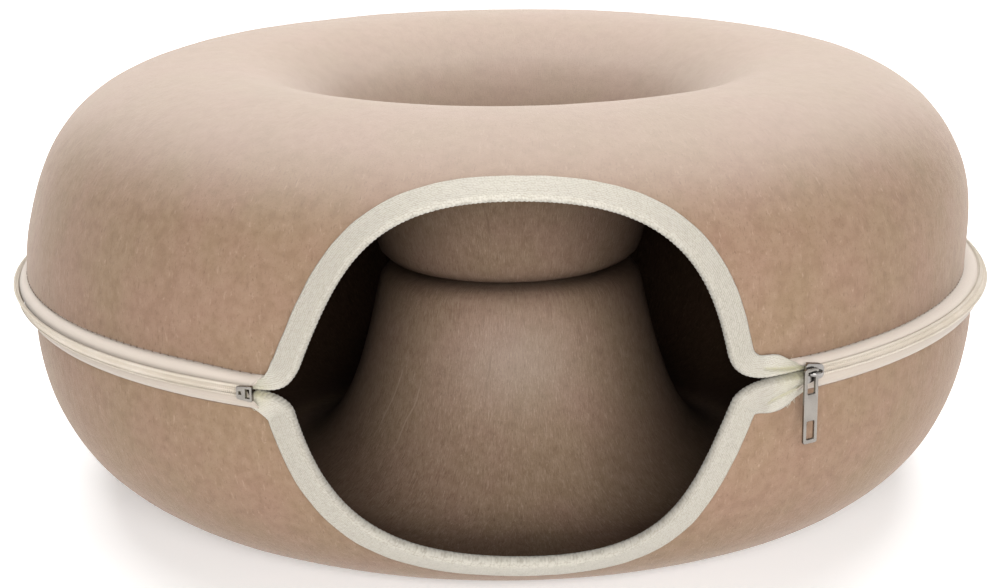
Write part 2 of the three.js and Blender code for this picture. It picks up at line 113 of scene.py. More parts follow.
def unsettle(points):  # back to the even ring, by a few rounds of correction
    even = np.array(points, float)
    for _ in range(5):
        even += points - settle(even)
    return even


def toFrame(points):
    return (np.asarray(points) + ring["axis"]) * mm


def wallFromFront(half, x, z):
    climb = np.clip((z - half["rim"]) / (half["far"] - half["rim"]), 0, None)
    reach = (1 - climb ** half["fullness"]) ** (1 / half["fullness"])
    radius = half["farRadius"] + (ring["rimRadius"] - half["farRadius"]) * reach
    return np.stack([x, -np.sqrt(radius ** 2 - x ** 2), z], -1)


def ontoWall(half, p):  # the wall under a point near it, and the wall's outward direction there
    span = ring["rimRadius"] - half["farRadius"]
    height = half["far"] - half["rim"]
    f = half["fullness"]
    angle = np.arctan2(p[..., 0], -p[..., 1])
    reach = (np.hypot(p[..., 0], p[..., 1]) - half["farRadius"]) / span
    climb = np.clip((p[..., 2] - half["rim"]) / height, 0, None)
    size = (reach ** f + climb ** f) ** (1 / f)
    reach, climb = reach / size, climb / size
    across, along = reach ** (f - 1) / span, climb ** (f - 1) / height
    tall = np.hypot(across, along)
    across, along = across / tall, along / tall
    radius = half["farRadius"] + span * reach
    z = np.where(climb > 0, half["rim"] + height * climb, p[..., 2])
    place = np.stack([radius * np.sin(angle), -radius * np.cos(angle), z], -1)
    return place, np.stack([across * np.sin(angle), -across * np.cos(angle), along], -1)


# Meshes


def newObject(name, points, faces):
    mesh = bpy.data.meshes.new(name)
    mesh.from_pydata(np.asarray(points).tolist(), [], faces)
    mesh.update()
    piece = bpy.data.objects.new(name, mesh)
    bpy.context.collection.objects.link(piece)
    return piece


def makeActive(piece):
    bpy.ops.object.select_all(action="DESELECT")
    piece.select_set(True)
    bpy.context.view_layer.objects.active = piece


def facesOutward(piece):
    makeActive(piece)
    bpy.ops.object.mode_set(mode="EDIT")
    bpy.ops.mesh.select_all(action="SELECT")
    bpy.ops.mesh.normals_make_consistent(inside=False)
    bpy.ops.object.mode_set(mode="OBJECT")


def applyModifier(piece, kind, **values):
    makeActive(piece)
    step = piece.modifiers.new(kind, kind)
    for key, value in values.items():
        setattr(step, key, value)
    bpy.ops.object.modifier_apply(modifier=step.name)


def cutWith(piece, cutter):
    applyModifier(piece, "BOOLEAN", operation="DIFFERENCE", solver="EXACT", object=cutter)
    bpy.data.objects.remove(cutter)


def stripFaces(rows, cols, closeRows=False, closeCols=False):
    i, j = np.meshgrid(np.arange(rows - (not closeRows)), np.arange(cols - (not closeCols)), indexing="ij")
    i, j = i.ravel(), j.ravel()
    k, n = (i + 1) % rows, (j + 1) % cols
    return np.stack([i * cols + j, k * cols + j, k * cols + n, i * cols + n], 1).tolist()


def tubeFaces(rows, cols):  # with a lid at each end
    lids = [list(range(cols)), list(range((rows - 1) * cols, rows * cols))]
    return stripFaces(rows, cols, closeCols=True) + lids


def readPoints(piece):
    points = np.empty(len(piece.data.vertices) * 3)
    piece.data.vertices.foreach_get("co", points)
    return points.reshape(-1, 3)


def facingUp(piece):
    return np.array([v.normal.z for v in piece.data.vertices])


def writeValues(piece, name, values):
    values = np.asarray(values, np.float32)
    kind, field = ("FLOAT_VECTOR", "vector") if values.ndim == 2 else ("FLOAT", "value")
    layer = piece.data.attributes.new(name, kind, "POINT")
    layer.data.foreach_set(field, values.ravel())


def clothUv(along, girth):
    return np.stack(np.broadcast_arrays(along[:, None], girth[None]), -1).reshape(-1, 2) * mm


def writeUv(piece, uv):
    layer = piece.data.uv_layers.new(name="cut")
    corner = np.empty(len(piece.data.loops), np.int32)
    piece.data.loops.foreach_get("vertex_index", corner)
    layer.data.foreach_set("uv", np.asarray(uv, np.float32)[corner].ravel())


def finishPiece(piece, material, node=None, angle=None):
    piece.data.materials.clear()
    piece.data.materials.append(material)
    makeActive(piece)
    if angle is None:
        bpy.ops.object.shade_smooth()
    else:
        bpy.ops.object.shade_smooth_by_angle(angle=math.radians(angle))
    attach(piece, "root")
    if node:
        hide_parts(node)
    print(piece.name, len(piece.data.polygons), "faces")


# Camera, at the angle of the photograph

view = {"aim": (-0.28, -11.33, 88.4), "distance": 1149.4, "azimuth": -1.75, "elevation": 15.7,
        "lens": 78.19, "sensor": 36, "roll": -0.009, "clip": (0.02, 50)}


def addCamera():
    az, el = math.radians(view["azimuth"]), math.radians(view["elevation"])
    back = Vector((math.sin(az) * math.cos(el), -math.cos(az) * math.cos(el), math.sin(el)))
    bpy.ops.object.camera_add()
    camera = bpy.context.object
    camera.location = (Vector(view["aim"]) + back * view["distance"]) * mm
    camera.rotation_mode = "QUATERNION"
    camera.rotation_quaternion = (-back).to_track_quat("-Z", "Y") @ Quaternion((0, 0, 1), view["roll"])
    camera.data.sensor_width, camera.data.lens = view["sensor"], view["lens"]
    camera.data.clip_start, camera.data.clip_end = view["clip"]
    bpy.context.scene.camera = camera


addCamera()
print("camera set")

# Shader helpers


def newMaterial(name):
    material = bpy.data.materials.new(name)
    material.use_nodes = True
    return material, material.node_tree, material.node_tree.nodes["Principled BSDF"]


def addNode(tree, kind, **values):
    node = tree.nodes.new(kind)
    for key, value in values.items():
        setattr(node, key, value)
    return node


def newGroup(name, inputs, outputs):
    tree = bpy.data.node_groups.new(name, "ShaderNodeTree")
    for socket in inputs:
        kind = "NodeSocketVector" if socket == "Vector" else "NodeSocketFloat"
        tree.interface.new_socket(socket, in_out="INPUT", socket_type=kind)
    for socket in outputs:
        tree.interface.new_socket(socket, in_out="OUTPUT", socket_type="NodeSocketFloat")
    return tree, addNode(tree, "NodeGroupInput").outputs, addNode(tree, "NodeGroupOutput").inputs


def setInputs(node, **values):
    for key, value in values.items():
        node.inputs[key.replace("_", " ")].default_value = value
    return node


def feed(tree, socket, value):  # takes another node's output, a number or a colour
    if isinstance(value, bpy.types.NodeSocket):
        tree.links.new(value, socket)
    else:
        socket.default_value = (*value, 1) if isinstance(value, tuple) else value


def blendColours(tree, first, second, share, kind="MIX"):
    node = addNode(tree, "ShaderNodeMix", data_type="RGBA", blend_type=kind)
    for socket, value in ((node.inputs[6], first), (node.inputs[7], second), (node.inputs[0], share)):
        feed(tree, socket, value)
    return node.outputs[2]


def mathNode(tree, operation, *values):
    node = addNode(tree, "ShaderNodeMath", operation=operation)
    for socket, value in zip(node.inputs, values):
        feed(tree, socket, value)
    return node.outputs[0]


def product(tree, first, second):
    return mathNode(tree, "MULTIPLY", first, second)


def rampNode(tree, factor, *stops):
    node = addNode(tree, "ShaderNodeValToRGB")
    ramp = node.color_ramp
    while len(ramp.elements) < len(stops):
        ramp.elements.new(0.5)
    for element, (place, value) in zip(ramp.elements, stops):
        element.position = place
        element.color = (value, value, value, 1)
    tree.links.new(factor, node.inputs[0])
    return node.outputs[0]


def noiseNode(tree, vector, scale, detail=2.0, roughness=0.5, swirl=0.0):
    node = addNode(tree, "ShaderNodeTexNoise")
    setInputs(node, Scale=scale, Detail=detail, Roughness=roughness, Distortion=swirl)
    tree.links.new(vector, node.inputs["Vector"])
    return node.outputs["Fac"]


def stretched(tree, vector, scale, shift=(0, 0, 0)):
    node = addNode(tree, "ShaderNodeMapping")
    setInputs(node, Scale=scale, Location=shift)
    tree.links.new(vector, node.inputs["Vector"])
    return node.outputs["Vector"]


def splitVector(tree, vector):
    node = addNode(tree, "ShaderNodeSeparateXYZ")
    tree.links.new(vector, node.inputs[0])
    return node.outputs


def ownPlace(tree):
    return addNode(tree, "ShaderNodeTexCoord").outputs["Object"]


def attributeValue(tree, name):
    return addNode(tree, "ShaderNodeAttribute", attribute_name=name).outputs["Fac"]


def addBump(tree, shader, height, strength, depth):
    bump = setInputs(addNode(tree, "ShaderNodeBump"), Strength=strength, Distance=depth * mm)
    tree.links.new(height, bump.inputs["Height"])
    tree.links.new(bump.outputs[0], shader.inputs["Normal"])


# Felt

felt = {
    "rosy": (0.254, 0.162, 0.114), "sandy": (0.240, 0.164, 0.105), "patches": ((0.36, 0.0), (0.64, 1.0)),
    "paleFibre": (0.365, 0.266, 0.200), "darkFibre": (0.150, 0.094, 0.061),
    "crown": (0.490, 0.431, 0.390), "crownLightShare": 0.40,  # painted highlight: paler where it lies level and faces up to the top light
    "outer": (0.86, 0.84, 0.82),  # the outside faces are a little darker and greyer than the tunnel's
    "innerShade": (0.20, 0.16, 0.13),
    "sheen": 0.24, "sheenRoughness": 0.4, "sheenTint": (1.0, 0.91, 0.83),
    "roughness": 0.96, "specular": 0.15,
    "clouds": {  # scale, detail, roughness
        "patches": (26, 3, 0.55), "mottle": (170, 4, 0.62), "fuzz": (1500, 3, 0.6),
    },
    "fibres": {  # scales round and along the felt, shift, detail, roughness, swirl
        "streaks": ((1100, 1100, 250), (0, 0, 0), 3, 0.6, 0.0),
        "fineStreaks": ((1700, 1700, 330), (3.1, 1.7, 5.2), 2, 0.6, 0.0),
        "hairs": ((1200, 1200, 260), (1.3, 0.4, 2.2), 3, 0.65, 1.1),
    },
    "grain": (  # mask, the ramp over it, colour, strength
        ("mottle", (0.42, 0.0), (0.78, 1.0), "paleFibre", 0.32),
        ("mottle", (0.22, 1.0), (0.48, 0.0), "darkFibre", 0.30),
        ("streaks", (0.60, 0.0), (0.74, 1.0), "paleFibre", 0.60),
        ("fineStreaks", (0.26, 1.0), (0.40, 0.0), "darkFibre", 0.62),
        ("fuzz", (0.30, 1.0), (0.44, 0.0), "darkFibre", 0.45),
        ("hairs", (0.55, 0.0), (0.68, 0.8), "paleFibre", "hubOnly"),
        ("hairs", (0.33, 0.7), (0.46, 0.0), "darkFibre", "hubOnly"),
    ),
    "creases": (  # painted highlight (depth above 0) or painted shade (below 0) along creases in the hub: degrees round the hub, lean, start and end in metres along the felt, depth
        (-46.0, 3.2, 0.10, 0.145, 0.85),
        (-36.5, 2.4, 0.105, 0.15, 0.7),
        (-9.0, 1.0, 0.08, 0.125, -0.45),
    ),
    "creaseSway": (30, 0.12), "creaseSharpness": 20, "creaseWidth": 0.16,
    "fuzzRelief": 0.8, "hairRelief": 1.2, "mottleRelief": 0.8, "bump": 0.35, "bumpDepth": 0.6,
}


def creaseLines(tree, fibre, onHub, tone):
    x, y, along = splitVector(tree, fibre)
    turn = mathNode(tree, "ARCTAN2", x, y)
    size, swing = felt["creaseSway"]
    sway = mathNode(tree, "MULTIPLY_ADD", noiseNode(tree, fibre, size, 1), swing, -swing / 2)
    for degrees, lean, start, end, depth in felt["creases"]:
        off = mathNode(tree, "ADD", mathNode(tree, "MULTIPLY_ADD", along, lean, turn), sway)
        off = mathNode(tree, "ADD", off, -math.radians(degrees) - lean * start)
        off = product(tree, mathNode(tree, "ABSOLUTE", off), felt["creaseSharpness"])
        line = rampNode(tree, off, (0.0, 1.0), (felt["creaseWidth"], 0.0))
        span = mathNode(tree, "DIVIDE", mathNode(tree, "SUBTRACT", along, start), end - start)
        fade = rampNode(tree, span, (0.0, 0.0), (0.2, 1.0), (0.7, 1.0), (1.0, 0.0))
        share = product(tree, product(tree, line, fade), product(tree, onHub, abs(depth)))
        tone = blendColours(tree, tone, felt["paleFibre" if depth > 0 else "darkFibre"], share)
    return tone


def feltMaterial():
    material, tree, shader = newMaterial("beige felt")
    place = ownPlace(tree)
    fibre = addNode(tree, "ShaderNodeAttribute", attribute_name="fibre").outputs["Vector"]
    nap = attributeValue(tree, "nap")
    onHub = mathNode(tree, "SUBTRACT", 1.0, nap)
    mask = {name: noiseNode(tree, place, *cloud) for name, cloud in felt["clouds"].items()}
    for name, (scale, shift, *texture) in felt["fibres"].items():
        mask[name] = noiseNode(tree, stretched(tree, fibre, scale, shift), 1, *texture)
    tone = blendColours(tree, felt["rosy"], felt["sandy"], rampNode(tree, mask["patches"], *felt["patches"]))
    for name, low, high, colour, strength in felt["grain"]:
        share = rampNode(tree, mask[name], low, high)
        share = product(tree, share, onHub if strength == "hubOnly" else strength)
        tone = blendColours(tree, tone, felt[colour], share)
    tone = creaseLines(tree, fibre, onHub, tone)
    tone = blendColours(tree, tone, felt["outer"], nap, "MULTIPLY")
    # painted light: the paler crown colour, laid on where the felt faces up or faces the entrance
    litTone = blendColours(tree, tone, felt["crown"], felt["crownLightShare"])
    tone = blendColours(tree, tone, litTone, attributeValue(tree, "level"))
    # painted shade inside the tunnel
    tone = blendColours(tree, tone, felt["innerShade"], attributeValue(tree, "inner"), "MULTIPLY")
    feed(tree, shader.inputs["Base Color"], tone)
    height = mathNode(tree, "MULTIPLY_ADD", mask["fuzz"], felt["fuzzRelief"], mask["streaks"])
    hubHairs = product(tree, onHub, felt["hairRelief"])
    height = mathNode(tree, "MULTIPLY_ADD", mask["hairs"], hubHairs, height)
    height = mathNode(tree, "MULTIPLY_ADD", mask["mottle"], felt["mottleRelief"], height)
    addBump(tree, shader, height, felt["bump"], felt["bumpDepth"])
    feed(tree, shader.inputs["Sheen Weight"], product(tree, nap, felt["sheen"]))
    setInputs(shader, Roughness=felt["roughness"], Specular_IOR_Level=felt["specular"],
              Sheen_Roughness=felt["sheenRoughness"], Sheen_Tint=(*felt["sheenTint"], 1))
    return material


feltFinish = feltMaterial()

shells = {"steps": 256, "outerStep": 3.2, "innerStep": 4.2, "edgeRound": 1.1, "edgePoints": 7,
          "unevenness": 0.45, "lump": 70.0, "smallLump": 19.0, "smallShare": 0.35,
          "calm": (1.0, 12.0)}  # the base stays flat on the floor
bowl = {"floor": 112.5, "flat": 48.0, "corner": 65.0, "foot": (66.5, 121.0),
        "flare": ((76.5, 168.0), (100.0, 216.0))}
hub = {"crown": 105.8, "crownPull": 0.55, "top": 104.0, "flat": 58.0, "corner": 65.3, "foot": (66.3, 97.0),
       "flare": ((74.5, 60.0), (84.0, 0.0)), "ringInner": 134.0}


def wallLine(half, count=400):
    t = np.linspace(0, math.pi / 2, count)
    reach = np.cos(t).clip(0) ** (2 / half["fullness"])
    rise = np.sin(t) ** (2 / half["fullness"])
    radius = half["farRadius"] + (ring["rimRadius"] - half["farRadius"]) * reach
    return np.column_stack([radius, half["rim"] + (half["far"] - half["rim"]) * rise])


def bowlLine():
    far = (upperHalf["farRadius"], upperHalf["far"])
    return np.concatenate([
        curveLine((0, bowl["floor"]), (bowl["flat"], bowl["floor"])),
        curveLine((bowl["flat"], bowl["floor"]), (bowl["corner"], bowl["floor"]), bowl["foot"])[1:],
        curveLine(bowl["foot"], *bowl["flare"], far, count=200)[1:],
        wallLine(upperHalf)[::-1][1:],
    ])


def hubLine():
    pull = hub["flat"] * hub["crownPull"]
    return np.concatenate([
        curveLine((0, hub["crown"]), (pull, hub["crown"]), (hub["flat"], hub["top"])),
        curveLine((hub["flat"], hub["top"]), (hub["corner"], hub["top"]), hub["foot"])[1:],
        curveLine(hub["foot"], *hub["flare"], (hub["ringInner"], lowerHalf["far"]), count=200)[1:],
        wallLine(lowerHalf)[::-1],
    ])


def sideways(line, side):  # direction from the outside face to the tunnel
    run = unit(np.gradient(line, axis=0))
    return np.column_stack([run[:, 1], -run[:, 0]]) * side


def lumpAt(point):
    p = Vector(point)
    return noise.noise(p / shells["lump"]) + shells["smallShare"] * noise.noise(p / shells["smallLump"])


def spinFelt(name, half, outside):
    face = evenLine(outside, shells["outerStep"])
    coarse = evenLine(outside, shells["innerStep"])
    back = coarse + sideways(coarse, half["side"]) * ring["felt"]
    back[0, 0] = 0
    back[-1] = (ring["rimRadius"] - ring["felt"], half["rim"])
    turn = np.linspace(0, math.pi, shells["edgePoints"])[1:-1]
    edge = np.column_stack([
        ring["rimRadius"] - ring["felt"] / 2 + ring["felt"] / 2 * np.cos(turn),
        half["rim"] - half["side"] * shells["edgeRound"] * np.sin(turn),
    ])
    section = np.concatenate([face, edge, back[::-1]])
    outer, inner = -sideways(face, half["side"]), -sideways(coarse, half["side"])[::-1]
    lean = np.concatenate([outer, np.tile([1.0, 0.0], (len(edge), 1)), inner])[1:-1]
    steps, cols = shells["steps"], len(section) - 2  # the two ends on the axis are poles
    degrees = np.arange(steps)[:, None] * 360 / steps
    points = roundRing(section[None, 1:-1, 0], section[None, 1:-1, 1], degrees).reshape(-1, 3)
    outward = roundRing(lean[None, :, 0], lean[None, :, 1], degrees).reshape(-1, 3)
    lumps = np.array([lumpAt(p) for p in points]) * smoothStep(points[:, 2], *shells["calm"])
    points = points + outward * (lumps * shells["unevenness"])[:, None]
    faces = stripFaces(steps, cols, closeRows=True)
    pole = len(points)
    points = np.concatenate([points, [[0, 0, section[0, 1]], [0, 0, section[-1, 1]]]])
    for i in range(steps):
        k = (i + 1) % steps
        faces.append([pole, k * cols, i * cols])
        faces.append([pole + 1, i * cols + cols - 1, k * cols + cols - 1])
    shell = newObject(name, toFrame(settle(points)), faces)
    facesOutward(shell)
    return shell


# Entrance edge seen from the front, from the left lip over the arch to the right lip

entrance = {"lipStart": 109.0, "leftEnd": 113.4, "rightEnd": 122.8, "widenFrom": 97.0, "widenTo": 107.0,
            "cutFrom": 150.0, "cutTo": 300.0, "cutStep": 3.0, "cutInset": 1.5}
archUpper = {
    "crest": (-3.5, 191.3), "crestPull": 64.0, "leaf": 11.2,
    "left": {"foot": (-94.3, 120.2), "pull": (-78.0, 161.3), "corner": 109.1, "end": 109.3,
             "leaf": 11.2, "taperFrom": 101.5, "endLeaf": 2.4},
    "right": {"foot": (89.9, 123.4), "pull": (79.9, 166.6), "corner": 107.6, "end": 109.85,
              "leaf": 11.2, "taperFrom": 112.0, "endLeaf": 2.4},
    "groove": (5.6, 2.4),  # how far in from the fold the sewn groove of the right lip runs
    "pleat": 1.0,
    "lipShade": 0.55,  # the right lip lies in its own shade
    "frays": {"right": 3, "left": 6},
}
archLower = {
    "crest": (6.8, 26.2), "crestPull": 58.5, "leaf": 11.8,
    "left": {"foot": (-97.8, 99.4), "pull": (-82.4, 43.4), "corner": 105.8, "end": 108.9,
             "leaf": 11.8, "taperFrom": 107.0, "endLeaf": 7.2},
    "right": {"foot": (91.5, 100.0), "pull": (73.4, 60.4), "corner": 106.7, "end": 109.4,
              "leaf": 14.8, "taperFrom": 114.5, "endLeaf": 8.4},
    "groove": (10.5, 6.5),
    "pleat": 1.28,
    "lipShade": 1.0,
    "frays": {"right": 17, "left": 5},
}


def lipRun(side, end):  # where a foot's straight run turns, where the lip starts and where it ends
    (footX, footZ), (pullX, pullZ) = side["foot"], side["pull"]
    cornerX = footX + (footX - pullX) / (footZ - pullZ) * (side["corner"] - footZ)
    startX = math.copysign(entrance["lipStart"], end)
    startZ = np.interp((startX - cornerX) / (end - cornerX), (0, 1), (side["corner"], side["end"]))
    return (cornerX, side["corner"]), (startX, startZ), (end, side["end"])


def entranceLine(arch):
    (crestX, crestZ), pull = arch["crest"], arch["crestPull"]
    left, right = arch["left"], arch["right"]
    leftCorner, leftStart, leftTip = lipRun(left, -entrance["leftEnd"])
    rightCorner, rightStart, rightTip = lipRun(right, entrance["rightEnd"])
    return np.concatenate([
        [leftTip],
        curveLine(leftStart, leftCorner, left["foot"], count=60),
        curveLine(left["foot"], left["pull"], (crestX - pull, crestZ), arch["crest"], count=160)[1:],
        curveLine(arch["crest"], (crestX + pull, crestZ), right["pull"], right["foot"], count=160)[1:],
        curveLine(right["foot"], rightCorner, rightStart, count=60)[1:],
        [rightTip],
    ])


def cutEntrance(shell, arch, half):
    line = evenLine(entranceLine(arch), entrance["cutStep"])
    run = unit(np.gradient(line, axis=0))
    edge = line + np.column_stack([-run[:, 1], run[:, 0]]) * half["side"] * entrance["cutInset"]
    past = 2 * ring["chainHeight"] - arch["crest"][1]
    edge = np.concatenate([edge, [[entrance["rightEnd"], past], [-entrance["leftEnd"], past]]])
    count = len(edge)
    points = [(x, -depth, z) for depth in (entrance["cutFrom"], entrance["cutTo"]) for x, z in edge]
    faces = [list(range(count)), list(range(count, 2 * count))]
    faces += [[i, (i + 1) % count, count + (i + 1) % count, count + i] for i in range(count)]
    cutter = newObject("entrance cutter", toFrame(points), faces)
    facesOutward(cutter)
    cutWith(shell, cutter)


feltLight = {  # how the felt's tone follows the light of the photograph
    "lineStep": 2.0, "batch": 4000, "drum": 150.0,
    "tunnelFace": (1.6, 2.8),  # depth below the outside
    "hubSides": (10, 75), "hubSideShade": 0.5,  # degrees from the entrance
    "joint": 107.0, "jointFade": 9.0, "jointShade": 0.45, "aboveJoint": 0.12,  # where bowl and hub meet
    "hubFoot": (74, 100), "hubFootShade": 0.22,
    "tunnelWall": (95, 150),
    "doorway": (14, 44), "doorwayTop": 70.0, "doorwayLight": 0.55,  # light from the entrance on the floor
    "glowTurn": 0.42, "glowHeight": (74.0, 24.0), "glowRadius": 112.0, "glow": 0.55,  # painted light on the hub where it faces the entrance
    # painted light where the felt faces up, and on the bowl's inner wall
    "level": (0.42, 1.0),
    "bowlRise": (120, 160), "bowlReach": (100, 140), "bowlWallLight": 0.48,
}


def lightFelt(shell, outside):
    f = feltLight
    local = unsettle(readPoints(shell) / mm - ring["axis"])
    height = local[:, 2]
    radius = np.hypot(local[:, 0], local[:, 1])
    angle = np.arctan2(local[:, 0], -local[:, 1])
    fromDoor = np.degrees(np.abs(angle))
    line = evenLine(outside, f["lineStep"])
    run = runLength(line)
    along, depth = np.empty(len(local)), np.empty(len(local))
    for start in range(0, len(local), f["batch"]):
        part = slice(start, start + f["batch"])
        gap = (radius[part, None] - line[None, :, 0]) ** 2 + (height[part, None] - line[None, :, 1]) ** 2
        along[part] = run[gap.argmin(1)]
        depth[part] = np.sqrt(gap.min(1))
    back = smoothStep(depth, *f["tunnelFace"])
    turned = f["hubSideShade"] * smoothStep(fromDoor, *f["hubSides"])
    joint = f["jointShade"] * np.exp(-np.abs(height - f["joint"]) / f["jointFade"])
    joint = joint + f["aboveJoint"] * (height > f["joint"])
    hubShade = np.clip(turned + joint + f["hubFootShade"] * smoothStep(radius, *f["hubFoot"]), 0, 1)
    doorway = (1 - smoothStep(fromDoor, *f["doorway"])) * (height < f["doorwayTop"])
    sunk = smoothStep(radius, *f["tunnelWall"]) * (1 - f["doorwayLight"] * doorway)
    # painted shade inside: on the tunnel's walls, the hub's turned sides, the joint and the hub's foot
    writeValues(shell, "inner", back * np.maximum(sunk, hubShade))
    writeValues(shell, "nap", 1 - back)
    middle, spread = f["glowHeight"]
    glow = np.exp(-(angle / f["glowTurn"]) ** 2 - ((height - middle) / spread) ** 2)
    glow = glow * (radius < f["glowRadius"])
    bowlWallLight = f["bowlWallLight"] * smoothStep(height, *f["bowlRise"]) * (1 - smoothStep(radius, *f["bowlReach"]))
    # painted light: paler where the felt faces up, on the bowl's wall, and on the hub where it faces the
    # entrance
    level = np.clip(smoothStep(facingUp(shell), *f["level"]) + bowlWallLight, 0, 1) * (1 - back)
    writeValues(shell, "level", level + f["glow"] * glow * back)
    drum = f["drum"] * mm
    writeValues(shell, "fibre", np.column_stack([drum * np.sin(angle), drum * np.cos(angle), along * mm]))


for name, node, half, arch, outside in (
    ("upper_felt", "upper_shell", upperHalf, archUpper, bowlLine()),
    ("lower_felt", "lower_shell", lowerHalf, archLower, hubLine()),
):
    shell = spinFelt(name, half, outside)
    cutEntrance(shell, arch, half)
    lightFelt(shell, outside)
    finishPiece(shell, feltFinish, node, angle=50)

# Bindings

bindingTape = {
    "thick": 1.0, "bend": 2.2, "clearOutside": 0.3, "clearInside": 0.5, "leastLeaf": 0.3, "ease": 22,
    "outerRows": 46, "foldRows": 17, "innerRows": 18, "hiddenRows": 6, "edgeReach": 1.03, "edgeDrop": 0.45,
    "swell": 4.5, "swellFrom": 23.5, "swellTo": 31.0,
    "stationStep": 0.42, "ribHeight": 0.19, "ribFade": 9, "edgeRibs": 0.25, "foldRibs": 0.3, "innerRibs": 0.5,
    "wander": 0.35, "wanderPitch": 9.0, "wanderApart": 3.7, "wanderAbove": 0.9,
    "scallop": 0.30, "scallopPitch": 2.1, "scallopSway": 1.3, "swayPitch": 5.3, "scallopDepth": 0.7,
    "grooveFrom": 103.0, "grooveTo": 119.0, "grooveStart": 5.0, "grooveDepth": 0.9, "grooveWidth": 0.9,
    "hemFrom": (0.4, 1.6), "hemLight": 0.6,  # the strip past the groove keeps less of the painted shade, so it is paler
    "shadeOver": ((92.0, 102.0, 106.0, 113.0), (0.0, 1.0, 1.0, 0.5)),
    "stainRight": (106, 120), "stainLeft": (103, 111), "leftStain": 0.9, "stainReach": 5.0,
    # along the sewn groove the stain colour is partly stain and partly painted shade
    "grooveStainAndShade": 0.7, "frayStain": 0.25, "pileFull": 0.8,
    "seed": 5,
}
threadFloats = {  # short rows of thread on the face, each a little out of line with the next
    "pitch": 0.86, "length": 1.4, "sway": ((0.22, 11.3, 0.0), (0.12, 4.7, 1.0)),
    "slip": 0.2, "lanes": 64, "weakest": 0.5, "aside": 0.18, "sunk": 0.35,
    "cells": 4096, "scatter": (53, 197),
}
fray = {"from": {"right": 115.5, "left": 109.5}, "reach": (0.8, 1.6), "stretch": 1.3, "root": 0.5,
        "stray": 0.35, "curl": 0.25, "radius": (0.13, 0.21), "point": 0.25, "points": 5,
        "guide": (0.3, 0.2, 1.0)}  # no strand runs that way


def bindingSection():  # rows of depth at the fold, share of the leaf, rise, and how much the ribs show
    b = bindingTape
    bend, thick, under = b["bend"], b["thick"], b["clearOutside"]
    top = under + thick
    foot = -ring["felt"] - b["clearInside"] - thick
    middle = (top + foot) / 2
    rows = []
    for q in np.linspace(1, 0, b["outerRows"]):
        ribs = min(1.0, (1 - q) * b["ribFade"], b["edgeRibs"] + q * b["ribFade"])
        rows.append((bend, q, top - b["edgeDrop"] * (q == 1), ribs))
    for a in np.radians(np.linspace(90, -90, b["foldRows"])[1:-1]):
        rows.append((bend * (1 - math.cos(a)), 0, middle + (top - middle) * math.sin(a), b["foldRibs"]))
    rows += [(bend, q, foot, b["innerRibs"]) for q in np.linspace(0, 1, b["innerRows"])]
    rows += [(bend, b["edgeReach"], foot + thick / 2, 0)]
    rows += [(bend, q, foot + thick, 0) for q in np.linspace(1, 0, b["hiddenRows"])]
    rows += [(thick, 0, foot + thick, 0), (thick, 0, under, 0)]
    rows += [(bend, q, under, 0) for q in np.linspace(0, 1, b["hiddenRows"])]
    rows += [(bend, b["edgeReach"], under + thick / 2, 0)]
    return np.array(rows), top, foot


def leafWidths(arch, edge, inward):
    width = np.empty(len(edge))
    reach = np.abs(edge[:, 0])
    widen = smoothStep(reach, entrance["widenFrom"], entrance["widenTo"])
    for side, end, sign in (("left", "leftEnd", -1), ("right", "rightEnd", 1)):
        lip = arch[side]
        here = edge[:, 0] * sign > 0
        wide = arch["leaf"] + (lip["leaf"] - arch["leaf"]) * widen
        wide = wide + (lip["endLeaf"] - wide) * smoothStep(reach, lip["taperFrom"], entrance[end])
        width[here] = wide[here]
    apart = edge[None] - edge[:, None]
    ahead = (apart * inward[:, None]).sum(-1)
    least = bindingTape["leastLeaf"]
    limit = np.where(ahead > least, (apart ** 2).sum(-1) / (2 * np.maximum(ahead, least)), np.inf)
    width = np.minimum(width, limit.min(1) * arch["pleat"])  # a tight turn is mitred, a pleat rounds it off
    ease = np.hanning(2 * bindingTape["ease"] + 1)
    padded = np.pad(width, bindingTape["ease"], mode="edge")
    return np.convolve(padded, ease / ease.sum(), mode="valid")


def floatRelief(along, across, draw):
    t = threadFloats
    sway = sum(swing * np.sin(along * 2 * math.pi / pitch + start) for swing, pitch, start in t["sway"])
    lane = across / t["pitch"] + sway
    row = np.floor(lane).astype(int)
    slip = draw.uniform(-t["slip"], t["slip"], t["lanes"])[row % t["lanes"]]
    slot = along / t["length"] + 0.5 * (row % 2) + slip
    slotScatter, rowScatter = t["scatter"]
    cell = (np.floor(slot).astype(int) * slotScatter + row * rowScatter) % t["cells"]
    strength = draw.uniform(t["weakest"], 1.0, t["cells"])[cell]
    aside = draw.uniform(-t["aside"], t["aside"], t["cells"])[cell]
    long = np.clip(1 - (2 * (slot % 1) - 1) ** 2, 0, 1)
    wide = np.clip(1 - (2 * (lane % 1) - 1 + aside) ** 2, 0, 1)
    return strength * np.sqrt(long) * wide - t["sunk"]


def strandMesh(line, radius):  # a thin four-sided thread that ends in a point
    run = unit(np.gradient(line, axis=0))
    side = unit(np.cross(run, fray["guide"]))
    lift = np.cross(run, side)
    fade = np.linspace(1, fray["point"], len(line))[:, None] * radius
    points = np.stack([line + side * fade, line + lift * fade, line - side * fade, line - lift * fade], 1)
    return points.reshape(-1, 3), tubeFaces(len(line), 4)


def frayedEnds(tips, away, arch, draw):
    t = np.linspace(0, 1, fray["points"])[:, None]
    strands = []
    for side, sign in (("right", 1), ("left", -1)):
        near = np.where(tips[:, 0] * sign > fray["from"][side])[0]
        for pick in draw.choice(near, arch["frays"][side]):
            reach = draw.uniform(*fray["reach"])
            root = tips[pick] - away[pick] * fray["root"]
            lean = away[pick] * reach + draw.normal(0, fray["stray"], 3)
            curl = draw.normal(0, fray["curl"], 3)
            line = root + lean * t * fray["stretch"] + curl * t ** 2
            strands.append(strandMesh(line, draw.uniform(*fray["radius"])))
    return strands


